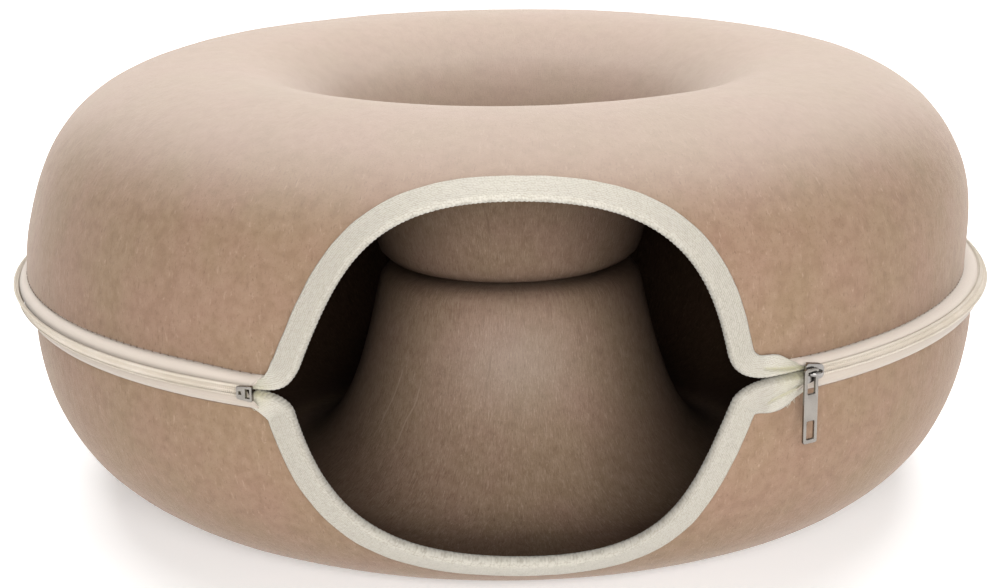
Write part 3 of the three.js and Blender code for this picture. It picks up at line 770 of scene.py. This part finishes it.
def sweepBinding(name, half, arch):
    b = bindingTape
    draw = np.random.default_rng(b["seed"] + half["side"])
    line = evenLine(entranceLine(arch), b["stationStep"])
    edge = wallFromFront(half, line[:, 0], line[:, 1])
    x = edge[:, 0]
    run = unit(np.gradient(edge, axis=0))
    _, normal = ontoWall(half, edge)
    inward = unit(np.cross(normal, run) * half["side"])
    along = runLength(edge)
    rows, top, foot = bindingSection()
    depth, share, rise, ribs = rows.T
    outerFace = rise > (top + foot) / 2

    leaf = leafWidths(arch, edge, inward)
    wander = [noise.noise((a / b["wanderPitch"], b["wanderApart"] * half["side"], 0)) for a in along]
    leaf = leaf + np.array(wander) * b["wander"] * (leaf > b["wanderAbove"] * arch["leaf"])
    inset = depth[None] + np.maximum(leaf[:, None] - b["bend"], b["leastLeaf"]) * share[None]
    sway = b["scallopSway"] * np.sin(along / b["swayPitch"])
    teeth = 0.5 + 0.5 * np.cos(along * 2 * math.pi / b["scallopPitch"] + sway)
    onFold = (share == 0) & (depth < b["bend"] * b["scallopDepth"])
    inset = inset + b["scallop"] * teeth[:, None] * onFold[None]
    place, out = ontoWall(half, edge[:, None] + inward[:, None] * inset[..., None])

    weave = floatRelief(np.broadcast_to(along[:, None], inset.shape), inset, draw)
    relief = weave * b["ribHeight"] * ribs[None]
    sewn = smoothStep(x, b["grooveFrom"], b["grooveFrom"] + b["grooveStart"])[:, None]
    fromGroove = inset - np.interp(x, (b["grooveFrom"], b["grooveTo"]), arch["groove"])[:, None]
    groove = sewn * np.exp(-(fromGroove / b["grooveWidth"]) ** 2) * (outerFace & (ribs > 0))[None]
    lift = rise[None] + relief * np.where(outerFace, 1, -1)[None] - groove * b["grooveDepth"]
    degrees = np.degrees(np.arctan2(np.abs(x), -edge[:, 1]))
    swell = b["swell"] * smoothStep(degrees, b["swellFrom"], b["swellTo"])[:, None]
    swell = swell * np.clip(1 - inset / arch["leaf"], 0, None) * ((rise - foot) / (top - foot))[None]
    level = unit(out * np.array([1, 1, 0]))
    points = place + out * lift[..., None] + level * swell[..., None]
    faces = tubeFaces(*points.shape[:2])

    girth = runLength(np.column_stack([depth + (arch["leaf"] - b["bend"]) * share, rise]))
    uv = clothUv(along, girth)
    leftStain = b["leftStain"] * smoothStep(-x, *b["stainLeft"])
    lipEnd = np.where(x > 0, smoothStep(x, *b["stainRight"]), leftStain)[:, None]
    # yellow stain at the lips' ends; along the groove, stain together with painted shade in the groove
    stainAndShade = (lipEnd * np.exp(-inset / b["stainReach"]) + b["grooveStainAndShade"] * groove).ravel()
    hem = sewn * smoothStep(fromGroove, *b["hemFrom"])
    shaded = arch["lipShade"] * np.interp(x, *b["shadeOver"])[:, None] * (1 - b["hemLight"] * hem)
    # painted shade: darker where the edge runs steeply down the sides, and on the right lips
    paintedShade = (1 - (1 - np.abs(run[:, 2])[:, None]) * (1 - shaded)).ravel()
    raised = np.clip((weave + threadFloats["sunk"]) / b["pileFull"], 0, 1)
    pile = np.where(ribs[None] > 0, raised, b["pileFull"]).ravel()

    flat = points.reshape(-1, 3)
    for strand, strandFaces in frayedEnds(points[:, 0], inward, arch, draw):
        faces += [[i + len(flat) for i in face] for face in strandFaces]
        flat = np.concatenate([flat, strand])
    loose = len(flat) - len(pile)
    piece = newObject(name, toFrame(settle(flat)), faces)
    facesOutward(piece)
    writeUv(piece, np.concatenate([uv, np.tile(uv[-1], (loose, 1))]))
    writeValues(piece, "stainAndShade", np.clip(np.concatenate([stainAndShade, np.full(loose, b["frayStain"])]), 0, 1))
    writeValues(piece, "pile", np.concatenate([pile, np.ones(loose)]))
    writeValues(piece, "paintedShade", np.concatenate([paintedShade, np.zeros(loose)]))
    return piece


wovenThreads = {"swayScale": (260, 260, 1), "sway": 2.6, "slubScale": (300, 900, 1), "slubRelief": 0.8,
                "fleck": 0.5, "blotchScale": 500, "bumpDepth": 0.4, "roughness": 0.88, "specular": 0.2,
                "sheen": 0.18, "sheenRoughness": 0.5}


def weaveGroup():  # over a UV map in metres: a mask of the threads and one of their slubs
    tree, given, wanted = newGroup("woven threads", ("Vector", "Along", "Across"), ("Threads", "Slubs"))
    u, v, _ = splitVector(tree, given["Vector"])
    warp = noiseNode(tree, stretched(tree, given["Vector"], wovenThreads["swayScale"]), 1, 2, 0.5)
    sway = product(tree, mathNode(tree, "SUBTRACT", warp, 0.5), wovenThreads["sway"])
    x = product(tree, u, given["Along"])
    y = product(tree, v, given["Across"])
    waveX = mathNode(tree, "SINE", mathNode(tree, "MULTIPLY_ADD", x, math.tau, sway))
    waveY = mathNode(tree, "SINE", mathNode(tree, "MULTIPLY_ADD", y, math.tau, product(tree, x, math.pi)))
    threads = mathNode(tree, "MULTIPLY_ADD", product(tree, waveX, waveY), 0.5, 0.5)
    slubs = noiseNode(tree, stretched(tree, given["Vector"], wovenThreads["slubScale"]), 1, 3, 0.6)
    tree.links.new(threads, wanted["Threads"])
    tree.links.new(slubs, wanted["Slubs"])
    return tree


woven = weaveGroup()


def clothMaterial(name, look):
    w = wovenThreads
    material, tree, shader = newMaterial(name)
    uv = addNode(tree, "ShaderNodeUVMap", uv_map="cut").outputs[0]
    cloth = addNode(tree, "ShaderNodeGroup", node_tree=woven)
    setInputs(cloth, Along=look["along"], Across=look["across"])
    tree.links.new(uv, cloth.inputs["Vector"])
    threads, slubs = cloth.outputs["Threads"], cloth.outputs["Slubs"]
    place = ownPlace(tree)
    raised = rampNode(tree, threads, (0.05, 0.25), (0.55, 1.0))
    tone = blendColours(tree, look["shade"], look["colour"], raised)
    cloud = rampNode(tree, noiseNode(tree, place, look["cloudScale"], 3, 0.6), (0.40, 0.0), (0.72, 1.0))
    tone = blendColours(tree, tone, look["tint"], product(tree, cloud, look["tintAmount"]))
    fleck = rampNode(tree, slubs, (0.24, 1.0), (0.40, 0.0))
    tone = blendColours(tree, tone, look["shade"], product(tree, fleck, w["fleck"]))
    if "stripe" in look:
        rows = mathNode(tree, "SINE", product(tree, splitVector(tree, uv)[1], look["stripe"]))
        rows = rampNode(tree, mathNode(tree, "MULTIPLY_ADD", rows, 0.5, 0.5), (0.0, 0.3), (0.35, 0.0))
        tone = blendColours(tree, tone, look["shade"], rows)
    if "lit" in look:
        tone = blendColours(tree, tone, look["lit"], attributeValue(tree, "level"))
    if "stainAndShade" in look:
        # painted shade in the valleys between the raised threads
        pile = rampNode(tree, attributeValue(tree, "pile"), (0.0, 0.36), (0.6, 1.0))
        tone = blendColours(tree, look["valleyShade"], tone, pile)
        # painted shade on the binding's sides and right lips
        tone = blendColours(tree, tone, look["paintedShade"], attributeValue(tree, "paintedShade"), "MULTIPLY")
        blotch = rampNode(tree, noiseNode(tree, place, w["blotchScale"], 3, 0.6), (0.3, 0.45), (0.6, 1.0))
        # stain at the lips' ends, and stain with painted shade along the groove
        tone = blendColours(tree, tone, look["stainAndShade"], product(tree, attributeValue(tree, "stainAndShade"), blotch))
    feed(tree, shader.inputs["Base Color"], tone)
    relief = mathNode(tree, "MULTIPLY_ADD", slubs, w["slubRelief"], threads)
    addBump(tree, shader, relief, look["bump"], w["bumpDepth"])
    setInputs(shader, Roughness=w["roughness"], Specular_IOR_Level=w["specular"],
              Sheen_Weight=w["sheen"], Sheen_Roughness=w["sheenRoughness"])
    return material


bindingFinish = clothMaterial("ivory binding tape", {
    "colour": (0.478, 0.448, 0.394), "shade": (0.392, 0.361, 0.304),
    "tint": (0.466, 0.440, 0.369), "tintAmount": 0.45, "cloudScale": 90.0,
    "valleyShade": (0.26, 0.235, 0.19), "paintedShade": (0.765, 0.76, 0.75), "stainAndShade": (0.35, 0.325, 0.21),
    "along": 900.0, "across": 1350.0, "bump": 0.5,
})

for name, node, half, arch, felted in (
    ("upper_edge_binding", "upper_binding", upperHalf, archUpper, "upper_felt"),
    ("lower_edge_binding", "lower_binding", lowerHalf, archLower, "lower_felt"),
):
    piece = sweepBinding(name, half, arch)
    finishPiece(piece, bindingFinish, node)

# Zip tapes

zipTape = {
    "thick": 0.8, "stationStep": 0.45, "rowStep": 1.1, "outside": 247.0, "lit": 0.85, "litFrom": (0.0, 0.9),
    "rows": {  # rise from the chain, radius
        1: ((15.0, 237.6), (8.0, 237.7), (5.2, 238.0), (4.45, 240.0), (4.4, 241.8), (4.1, 243.4),
            (3.5, 244.9), (2.7, 246.1), (1.9, 246.7), (0.3, 246.7)),
        -1: ((15.1, 237.8), (11.5, 237.9), (10.2, 238.3), (9.75, 240.4), (9.4, 242.5), (8.6, 244.6),
             (7.2, 246.0), (5.5, 246.6), (0.3, 246.7)),
    },
    "underLips": {  # degrees round the ring, and how far from the chain the tape starts there
        1: ((28.4, 29.2, 30.0, 30.35, 30.6, 331.8, 332.1, 332.5, 333.0, 333.6),
            (7.5, 4.2, 1.8, 1.0, 0.3, 0.3, 0.8, 2.2, 4.2, 7.5)),
        -1: ((29.6, 30.3, 30.6, 331.6, 331.9, 332.6), (8.0, 4.0, 0.3, 0.3, 3.0, 6.5)),
    },
    "partAt": (30.5, 31.1, 32.4), "partBy": (1.8, 1.2, 0.0), "partReach": 7.2,  # parted inside the slider
}


def sweepTape(name, half):
    t = zipTape
    up = half["side"]
    turn, start = t["underLips"][up]
    degrees = np.unique(np.concatenate([np.arange(turn[0], turn[-1], t["stationStep"]), turn]))
    lowest = np.interp(degrees, turn, start)
    line = evenLine(np.array(t["rows"][up])[:, ::-1], t["rowStep"])
    high, low = line[0, 1], line[-1, 1]
    rise = lowest[:, None] + (line[:, 1] - low)[None] * ((high - lowest) / (high - low))[:, None]
    radius = np.interp(rise, line[::-1, 1], line[::-1, 0])
    middle = np.stack([radius, rise], -1)
    run = unit(np.gradient(middle, axis=1))
    side = np.stack([-run[..., 1], run[..., 0]], -1) * t["thick"] / 2
    section = np.concatenate([middle + side, (middle - side)[:, ::-1]], 1)
    part = np.interp(degrees, t["partAt"], t["partBy"])[:, None]
    part = part * np.clip(1 - section[..., 1] / t["partReach"], 0, None)
    height = ring["chainHeight"] + up * (section[..., 1] + part)
    points = settle(roundRing(section[..., 0], height, degrees[:, None]))
    piece = newObject(name, toFrame(points.reshape(-1, 3)), tubeFaces(*points.shape[:2]))
    facesOutward(piece)
    writeUv(piece, clothUv(np.radians(degrees) * t["outside"], runLength(section[len(section) // 2])))
    writeValues(piece, "level", t["lit"] * smoothStep(facingUp(piece), *t["litFrom"]))
    return piece


tapeFinish = clothMaterial("cream zip tape", {
    "colour": (0.385, 0.331, 0.282), "shade": (0.32, 0.272, 0.228),
    "tint": (0.370, 0.322, 0.266), "tintAmount": 0.4, "cloudScale": 60.0,
    "lit": (0.63, 0.553, 0.482), "stripe": 3300.0, "along": 1500.0, "across": 1500.0, "bump": 0.2,
})

for name, node, half in (
    ("upper_zip_tape", "zip_tape_upper", upperHalf),
    ("lower_zip_tape", "zip_tape_lower", lowerHalf),
):
    piece = sweepTape(name, half)
    finishPiece(piece, tapeFinish, node, angle=60)

# Helpers for the small hard pieces, drawn at the front: x along the zip, -y outward, z from the chain


def addBlock(name, low, high):
    bpy.ops.object.select_all(action="DESELECT")
    low, high = Vector(low) * mm, Vector(high) * mm
    bpy.ops.mesh.primitive_cube_add(size=1, location=(low + high) / 2)
    block = bpy.context.object
    block.name = name
    block.scale = high - low
    bpy.ops.object.transform_apply(location=True, rotation=True, scale=True)
    return block


def editEdges(piece, wanted):  # goes into edit mode with the wanted edges selected
    makeActive(piece)
    bpy.ops.object.mode_set(mode="EDIT")
    bpy.ops.mesh.select_mode(type="EDGE")
    bpy.ops.mesh.select_all(action="DESELECT")
    bpy.ops.object.mode_set(mode="OBJECT")
    points = readPoints(piece) / mm
    for edge in piece.data.edges:
        edge.select = bool(wanted(points[edge.vertices[0]], points[edge.vertices[1]]))
    bpy.ops.object.mode_set(mode="EDIT")


def bevelEdges(piece, wanted, width, segments=1):
    editEdges(piece, wanted)
    bpy.ops.mesh.bevel(offset=width * mm, segments=segments)
    bpy.ops.object.mode_set(mode="OBJECT")


def everyEdge(a, b):
    return True


def acrossPlate(a, b, deep=0.3, straight=0.01):  # edges that run through a plate
    x, y, z = np.abs(a - b)
    return y > deep and x < straight and z < straight


def narrowEnd(piece, wanted, share):  # draws one end of a block in, across the zip
    editEdges(piece, lambda a, b: wanted(a) and wanted(b))
    bpy.ops.transform.resize(value=(1, 1, share))
    bpy.ops.object.mode_set(mode="OBJECT")


def joinTo(piece, *others):
    for other in others:
        applyModifier(piece, "BOOLEAN", operation="UNION", solver="EXACT", object=other)
        bpy.data.objects.remove(other)


def softenEdges(piece, width, segments=3, sharp=35):
    applyModifier(piece, "BEVEL", width=width * mm, segments=segments, limit_method="ANGLE",
                  angle_limit=math.radians(sharp))


def carryRound(piece, degrees):
    drawn = roundRing(chain["face"], 0, degrees)
    atChain = roundRing(chain["face"], ring["chainHeight"], degrees)
    place = Matrix.Translation(Vector(toFrame(settle(atChain) - drawn)))
    piece.data.transform(place @ Matrix.Rotation(math.radians(degrees), 4, "Z"))
    piece.data.update()


def repeatRound(name, seed, degrees, side):  # a copy at each place, mirrored below the chain
    x, y, z = (readPoints(seed) / mm).T
    faces = [list(f.vertices)[::side] for f in seed.data.polygons]
    bpy.data.objects.remove(seed)
    a = np.radians(degrees)[:, None]
    height = np.broadcast_to(z * side + ring["chainHeight"], (len(degrees), len(z)))
    points = np.stack([x * np.cos(a) - y * np.sin(a), x * np.sin(a) + y * np.cos(a), height], -1)
    copies = [[v + k * len(z) for v in face] for k in range(len(degrees)) for face in faces]
    return newObject(name, toFrame(settle(points.reshape(-1, 3))), copies)


# Zip chain: coil turns, and the thread that sews them down

chain = {"back": 247.4, "face": 249.5, "right": 31.5, "left": 331.5, "pitch": 1.1,
         "turn": 0.62, "head": -0.32, "heel": 2.2, "edge": 0.2, "heelEdge": 0.5, "near": 0.3}
coilThread = {"wide": 0.5, "from": 1.5, "to": 2.5, "proud": 0.16, "deep": 0.9, "edge": 0.14}


def coilTurn():
    c = chain
    half = c["turn"] / 2
    turn = addBlock("coil turn", (-half, -c["face"], c["head"]), (half, -c["back"], c["heel"]))
    bevelEdges(turn, everyEdge, c["edge"])
    heel, front = c["heel"] - c["near"], -c["face"] + c["near"]
    bevelEdges(turn, lambda a, b: min(a[2], b[2]) > heel and max(a[1], b[1]) < front, c["heelEdge"])
    return turn


def coilStitch():
    t, face = coilThread, chain["face"]
    half = t["wide"] / 2
    front, back = -face - t["proud"], -face + t["deep"]
    stitch = addBlock("coil stitch", (-half, front, t["from"]), (half, back, t["to"]))
    bevelEdges(stitch, everyEdge, t["edge"])
    return stitch


plainThread = {"patchScale": 45, "grainScale": 2600, "worn": 0.5, "bump": 0.2, "bumpDepth": 0.2}


def threadMaterial(name, colour, shade, roughness):
    t = plainThread
    material, tree, shader = newMaterial(name)
    place = ownPlace(tree)
    patch = rampNode(tree, noiseNode(tree, place, t["patchScale"]), (0.35, 0.0), (0.65, 1.0))
    grain = noiseNode(tree, place, t["grainScale"])
    tone = blendColours(tree, colour, shade, patch)
    worn = product(tree, rampNode(tree, grain, (0.3, 1.0), (0.5, 0.0)), t["worn"])
    feed(tree, shader.inputs["Base Color"], blendColours(tree, tone, shade, worn))
    addBump(tree, shader, grain, t["bump"], t["bumpDepth"])
    setInputs(shader, Roughness=roughness)
    return material


coilFinish = threadMaterial("cream nylon coil", (0.50, 0.44, 0.372), (0.45, 0.39, 0.318), 0.5)
threadFinish = threadMaterial("white sewing thread", (0.60, 0.55, 0.48), (0.54, 0.49, 0.41), 0.8)

step = math.degrees(chain["pitch"] / chain["face"])
turns = np.arange(chain["right"], chain["left"], step)
for part, node, side in (("upper", "zip_coil_upper", 1), ("lower", "zip_coil_lower", -1)):
    shift = 0 if side > 0 else step / 2
    coil = repeatRound(part + "_zip_coil", coilTurn(), turns + shift, side)
    finishPiece(coil, coilFinish, node, angle=40)
    stitches = repeatRound(part + "_coil_thread", coilStitch(), turns[1:-1] + shift + step / 2, side)
    finishPiece(stitches, threadFinish, angle=40)

# Metal pieces of the zip

sliderPart = {
    "azimuth": 30.8, "length": 10.0, "width": 9.6, "plate": 1.2, "corner": 1.7, "tail": 0.6, "edge": 0.32,
    "back": (0.1, 5.0), "backWidth": 4.6, "backCorner": 1.0, "post": (1.3, 1.6, 1.4), "postSink": (0.2, 0.4),
    "flange": 1.3, "flangeThick": 0.9, "flangeInset": 0.2, "flangeEnd": 1.6,
    "flangeSink": 0.3, "flangeTurn": 0.66,
    "bailLeft": -4.6, "bailRight": 3.6, "bailWire": 1.4, "bailWidth": 1.7, "bailRise": 3.7, "bailSink": 0.4,
    "bailEdge": 0.4, "bailSteps": 14,
}
pullerPart = {"offset": -3.4, "width": 7.6, "length": 34.0, "thick": 1.5, "corner": 1.1, "bar": 1.6,
              "eye": 9.8, "window": 8.2, "windowCorner": 0.4, "foot": 2.0, "edge": 0.34}
endBoxPart = {"azimuth": -27.9, "length": 7.8, "width": 7.2, "plate": 1.8, "corner": 0.8, "edge": 0.26,
              "lowEnd": 0.78, "slot": (1.7, 2.2, 4.2), "hole": (-2.0, 1.4, 1.4)}
plateSeat = chain["face"] + ring["seatGap"]
sliderFace = plateSeat + sliderPart["plate"]
tapeBack = zipTape["rows"][1][-1][1] - zipTape["thick"] / 2
cutPast = 4.0  # how far a window's cutter stands past the plate


def makeBail():
    s = sliderPart
    radius = (s["bailRight"] - s["bailLeft"] - s["bailWire"]) / 2 * mm
    middle = (s["bailRight"] + s["bailLeft"]) / 2 * mm
    foot = -(sliderFace - s["bailSink"]) * mm
    bpy.ops.object.select_all(action="DESELECT")
    start = (middle - radius, foot, 0)
    bpy.ops.mesh.primitive_plane_add(size=1, location=start, rotation=(math.pi / 2, 0, 0))
    bail = bpy.context.object
    bail.name = "bail"
    bail.scale = (s["bailWire"] * mm, s["bailWidth"] * mm, 1)
    bpy.ops.object.transform_apply(location=True, rotation=True, scale=True)
    bpy.ops.object.mode_set(mode="EDIT")
    bpy.ops.mesh.select_all(action="SELECT")
    bpy.ops.mesh.spin(steps=s["bailSteps"], angle=-math.pi, center=(middle, foot, 0), axis=(0, 0, 1),
                      use_auto_merge=False)
    bpy.ops.mesh.select_all(action="SELECT")
    bpy.ops.mesh.remove_doubles(threshold=1e-6)
    bpy.ops.object.mode_set(mode="OBJECT")
    points = readPoints(bail)
    rise = (s["bailRise"] + s["bailSink"]) * mm / (foot - points[:, 1].min())
    points[:, 1] = foot - (foot - points[:, 1]) * rise
    bail.data.vertices.foreach_set("co", points.ravel())
    bail.data.update()
    facesOutward(bail)
    softenEdges(bail, s["bailEdge"])
    return bail


def makeSlider():
    s = sliderPart
    reach, half, back = s["length"] / 2, s["width"] / 2, s["backWidth"] / 2
    innerSeat = tapeBack - 2 * ring["seatGap"] - s["plate"]
    body = addBlock("slider_body", (-reach, -sliderFace, -half), (reach, -plateSeat, half))
    narrowEnd(body, lambda p: p[0] > 0, s["tail"])
    bevelEdges(body, acrossPlate, s["corner"], segments=5)
    left, right = s["back"]
    backPlate = addBlock("slider back", (left, -innerSeat - s["plate"], -back), (right, -innerSeat, back))
    bevelEdges(backPlate, acrossPlate, s["backCorner"], segments=4)
    (offset, long, wide), (sinkOut, sinkIn) = s["post"], s["postSink"]
    post = addBlock("slider post", (offset - long / 2, -plateSeat - sinkOut, -wide / 2),
                    (offset + long / 2, -innerSeat - sinkIn, wide / 2))
    flanges = []
    end, outer = reach - s["flangeEnd"], half - s["flangeInset"]
    for side in (-1, 1):
        low, high = sorted((side * outer, side * (outer - s["flangeThick"])))
        flange = addBlock("slider flange", (-end, -plateSeat - s["flangeSink"], low),
                          (end, -plateSeat + s["flange"], high))
        editEdges(flange, lambda a, b: a[0] > 0 and b[0] > 0)
        bpy.ops.transform.translate(value=(0, 0, -side * half * (1 - s["tail"]) * s["flangeTurn"] * mm))
        bpy.ops.object.mode_set(mode="OBJECT")
        flanges.append(flange)
    joinTo(body, post, backPlate, *flanges)
    softenEdges(body, s["edge"])
    joinTo(body, makeBail())
    return body


def cutWindow(plate, face, left, right, low, high, corner=0.0):
    cutter = addBlock("window cutter", (left, -face - cutPast, low), (right, -face + cutPast, high))
    if corner:
        bevelEdges(cutter, acrossPlate, corner, segments=2)
    cutWith(plate, cutter)


def makePuller():
    p = pullerPart
    left, right = p["offset"] - p["width"] / 2, p["offset"] + p["width"] / 2
    eyeTop = sliderPart["bailWidth"] / 2 + ring["seatGap"]
    top = eyeTop + p["bar"]
    foot = top - p["length"]
    near = sliderFace + 2 * ring["seatGap"]
    tab = addBlock("puller_tab", (left, -near - p["thick"], foot), (right, -near, top))
    bevelEdges(tab, acrossPlate, p["corner"], segments=4)
    windowFoot = foot + p["foot"]
    for low, high in ((eyeTop - p["eye"], eyeTop), (windowFoot, windowFoot + p["window"])):
        cutWindow(tab, near, left + p["bar"], right - p["bar"], low, high, p["windowCorner"])
    softenEdges(tab, p["edge"])
    return tab


def makeEndBox():
    e = endBoxPart
    reach, half = e["length"] / 2, e["width"] / 2
    plate = addBlock("end_box_plate", (-reach, -plateSeat - e["plate"], -half), (reach, -plateSeat, half))
    narrowEnd(plate, lambda p: p[0] < 0, e["lowEnd"])
    bevelEdges(plate, acrossPlate, e["corner"], segments=4)
    for offset, long, wide in (e["slot"], e["hole"]):
        cutWindow(plate, plateSeat, offset - long / 2, offset + long / 2, -wide / 2, wide / 2)
    softenEdges(plate, e["edge"])
    return plate


plating = {"markScale": (5200, 5200, 420), "cloudScale": 120, "bumpDepth": 0.08}


def wearGroup():  # rubbed finish of plated metal: fine brush marks and cloudy patches
    tree, given, wanted = newGroup("rubbed plating", ("Vector",), ("Marks", "Clouds"))
    marks = noiseNode(tree, stretched(tree, given["Vector"], plating["markScale"]), 1, 3, 0.6)
    clouds = noiseNode(tree, given["Vector"], plating["cloudScale"])
    tree.links.new(marks, wanted["Marks"])
    tree.links.new(clouds, wanted["Clouds"])
    return tree


rubbed = wearGroup()


def metalMaterial(name, look):
    material, tree, shader = newMaterial(name)
    wear = addNode(tree, "ShaderNodeGroup", node_tree=rubbed)
    tree.links.new(ownPlace(tree), wear.inputs["Vector"])
    clouds = rampNode(tree, wear.outputs["Clouds"], (0.4, 0.0), (0.68, 1.0))
    feed(tree, shader.inputs["Base Color"], blendColours(tree, look["colour"], look["dull"], clouds))
    rough = mathNode(tree, "MULTIPLY_ADD", wear.outputs["Marks"], look["spread"], look["smooth"])
    feed(tree, shader.inputs["Roughness"], rough)
    addBump(tree, shader, wear.outputs["Marks"], look["bump"], plating["bumpDepth"])
    setInputs(shader, Metallic=1.0)
    return material


pullerFinish = metalMaterial("pale plated metal", {
    "colour": (0.240, 0.221, 0.199), "dull": (0.205, 0.188, 0.170),
    "smooth": 0.14, "spread": 0.18, "bump": 0.25,
})
sliderFinish = metalMaterial("dark plated metal", {
    "colour": (0.27, 0.255, 0.24), "dull": (0.19, 0.178, 0.168),
    "smooth": 0.10, "spread": 0.2, "bump": 0.3,
})

for made, degrees, finish, slotName, node in (
    (makeSlider(), sliderPart["azimuth"], sliderFinish, "slider_metal", "zip_slider"),
    (makePuller(), sliderPart["azimuth"], pullerFinish, "puller_metal", "zip_puller"),
    (makeEndBox(), endBoxPart["azimuth"], pullerFinish, "puller_metal", "zip_end_box"),
):
    carryRound(made, degrees)
    finishPiece(made, finish, node, angle=30)

# Stitches that hold the upper felt's edge to the tape

rimStitch = {"pitch": 5.0, "right": 30.9, "left": 331.8, "wide": 0.75, "tall": 0.9, "deep": 0.5, "drop": 0.9,
             "proud": 0.12, "edge": 0.2, "seed": 11, "stray": 0.12}


def makeRimStitches():
    s = rimStitch
    z = upperHalf["rim"] - ring["chainHeight"] - s["drop"]
    out = -ring["rimRadius"] - s["proud"]
    stitch = addBlock("rim stitch", (-s["wide"] / 2, out, z), (s["wide"] / 2, out + s["deep"], z + s["tall"]))
    bevelEdges(stitch, everyEdge, s["edge"])
    degrees = np.arange(s["right"], s["left"], math.degrees(s["pitch"] / ring["rimRadius"]))
    stray = np.random.default_rng(s["seed"]).normal(0, s["stray"], len(degrees))
    return repeatRound("rim_stitches", stitch, degrees + stray, 1)


# the stitches' dark brown is partly the thread's colour and partly painted shade in the stitch holes
stitchAndHoleShadeFinish = threadMaterial("brown thread with painted hole shade", (0.17, 0.105, 0.07), (0.11, 0.068, 0.045), 0.9)
finishPiece(makeRimStitches(), stitchAndHoleShadeFinish, angle=40)

# Floor and light, in metres and watts

studio = {
    "floor": 16.0, "floorDrop": 0.0002, "floorColour": (0.93, 0.93, 0.93), "floorRoughness": 0.9, "glow": 0.3,
    "world": 0.11, "worldColour": (1, 0.99, 0.98, 1),
    "softboxes": {  # place, aim, size, power
        "top back": ((0, 0.75, 1.9), (0, 0, 0.15), (2.8, 1.7), 93),
        "front": ((0.08, -2.3, 0.8), (0, 0, 0.10), (1.4, 0.9), 63),
        "left": ((-2.0, -1.3, 0.8), (0, 0, 0.12), (1.2, 1.0), 0.4),
        "right": ((2.0, -1.3, 0.8), (0, 0, 0.12), (1.2, 1.0), 5),
    },
}


def addFloor():
    bpy.ops.mesh.primitive_plane_add(size=studio["floor"], location=(0, 0, -studio["floorDrop"]))
    floor = bpy.context.object
    floor.name = "studio_floor"
    material, tree, shader = newMaterial("studio floor")
    grain = rampNode(tree, noiseNode(tree, ownPlace(tree), 3, 2), (0.3, 0.985), (0.7, 1.0))
    tone = blendColours(tree, studio["floorColour"], grain, 1.0, "MULTIPLY")
    feed(tree, shader.inputs["Base Color"], tone)
    setInputs(shader, Roughness=studio["floorRoughness"])
    setInputs(shader, Emission_Color=(1, 1, 1, 1), Emission_Strength=studio["glow"])
    floor.data.materials.append(material)


def addSoftbox(name, place, aim, size, power):
    bpy.ops.object.light_add(type="AREA", location=place)
    box = bpy.context.object
    box.name = name
    box.data.shape = "RECTANGLE"
    box.data.size, box.data.size_y = size
    box.data.energy = power
    box.rotation_mode = "QUATERNION"
    box.rotation_quaternion = (Vector(aim) - Vector(place)).to_track_quat("-Z", "Y")


def addWorld():
    world = bpy.context.scene.world or bpy.data.worlds.new("studio")
    bpy.context.scene.world = world
    world.use_nodes = True
    setInputs(world.node_tree.nodes["Background"], Color=studio["worldColour"], Strength=studio["world"])


addFloor()
addWorld()
for name, settings in studio["softboxes"].items():
    addSoftbox(name, *settings)
bpy.context.scene.view_settings.view_transform = "Standard"
print("studio lit")
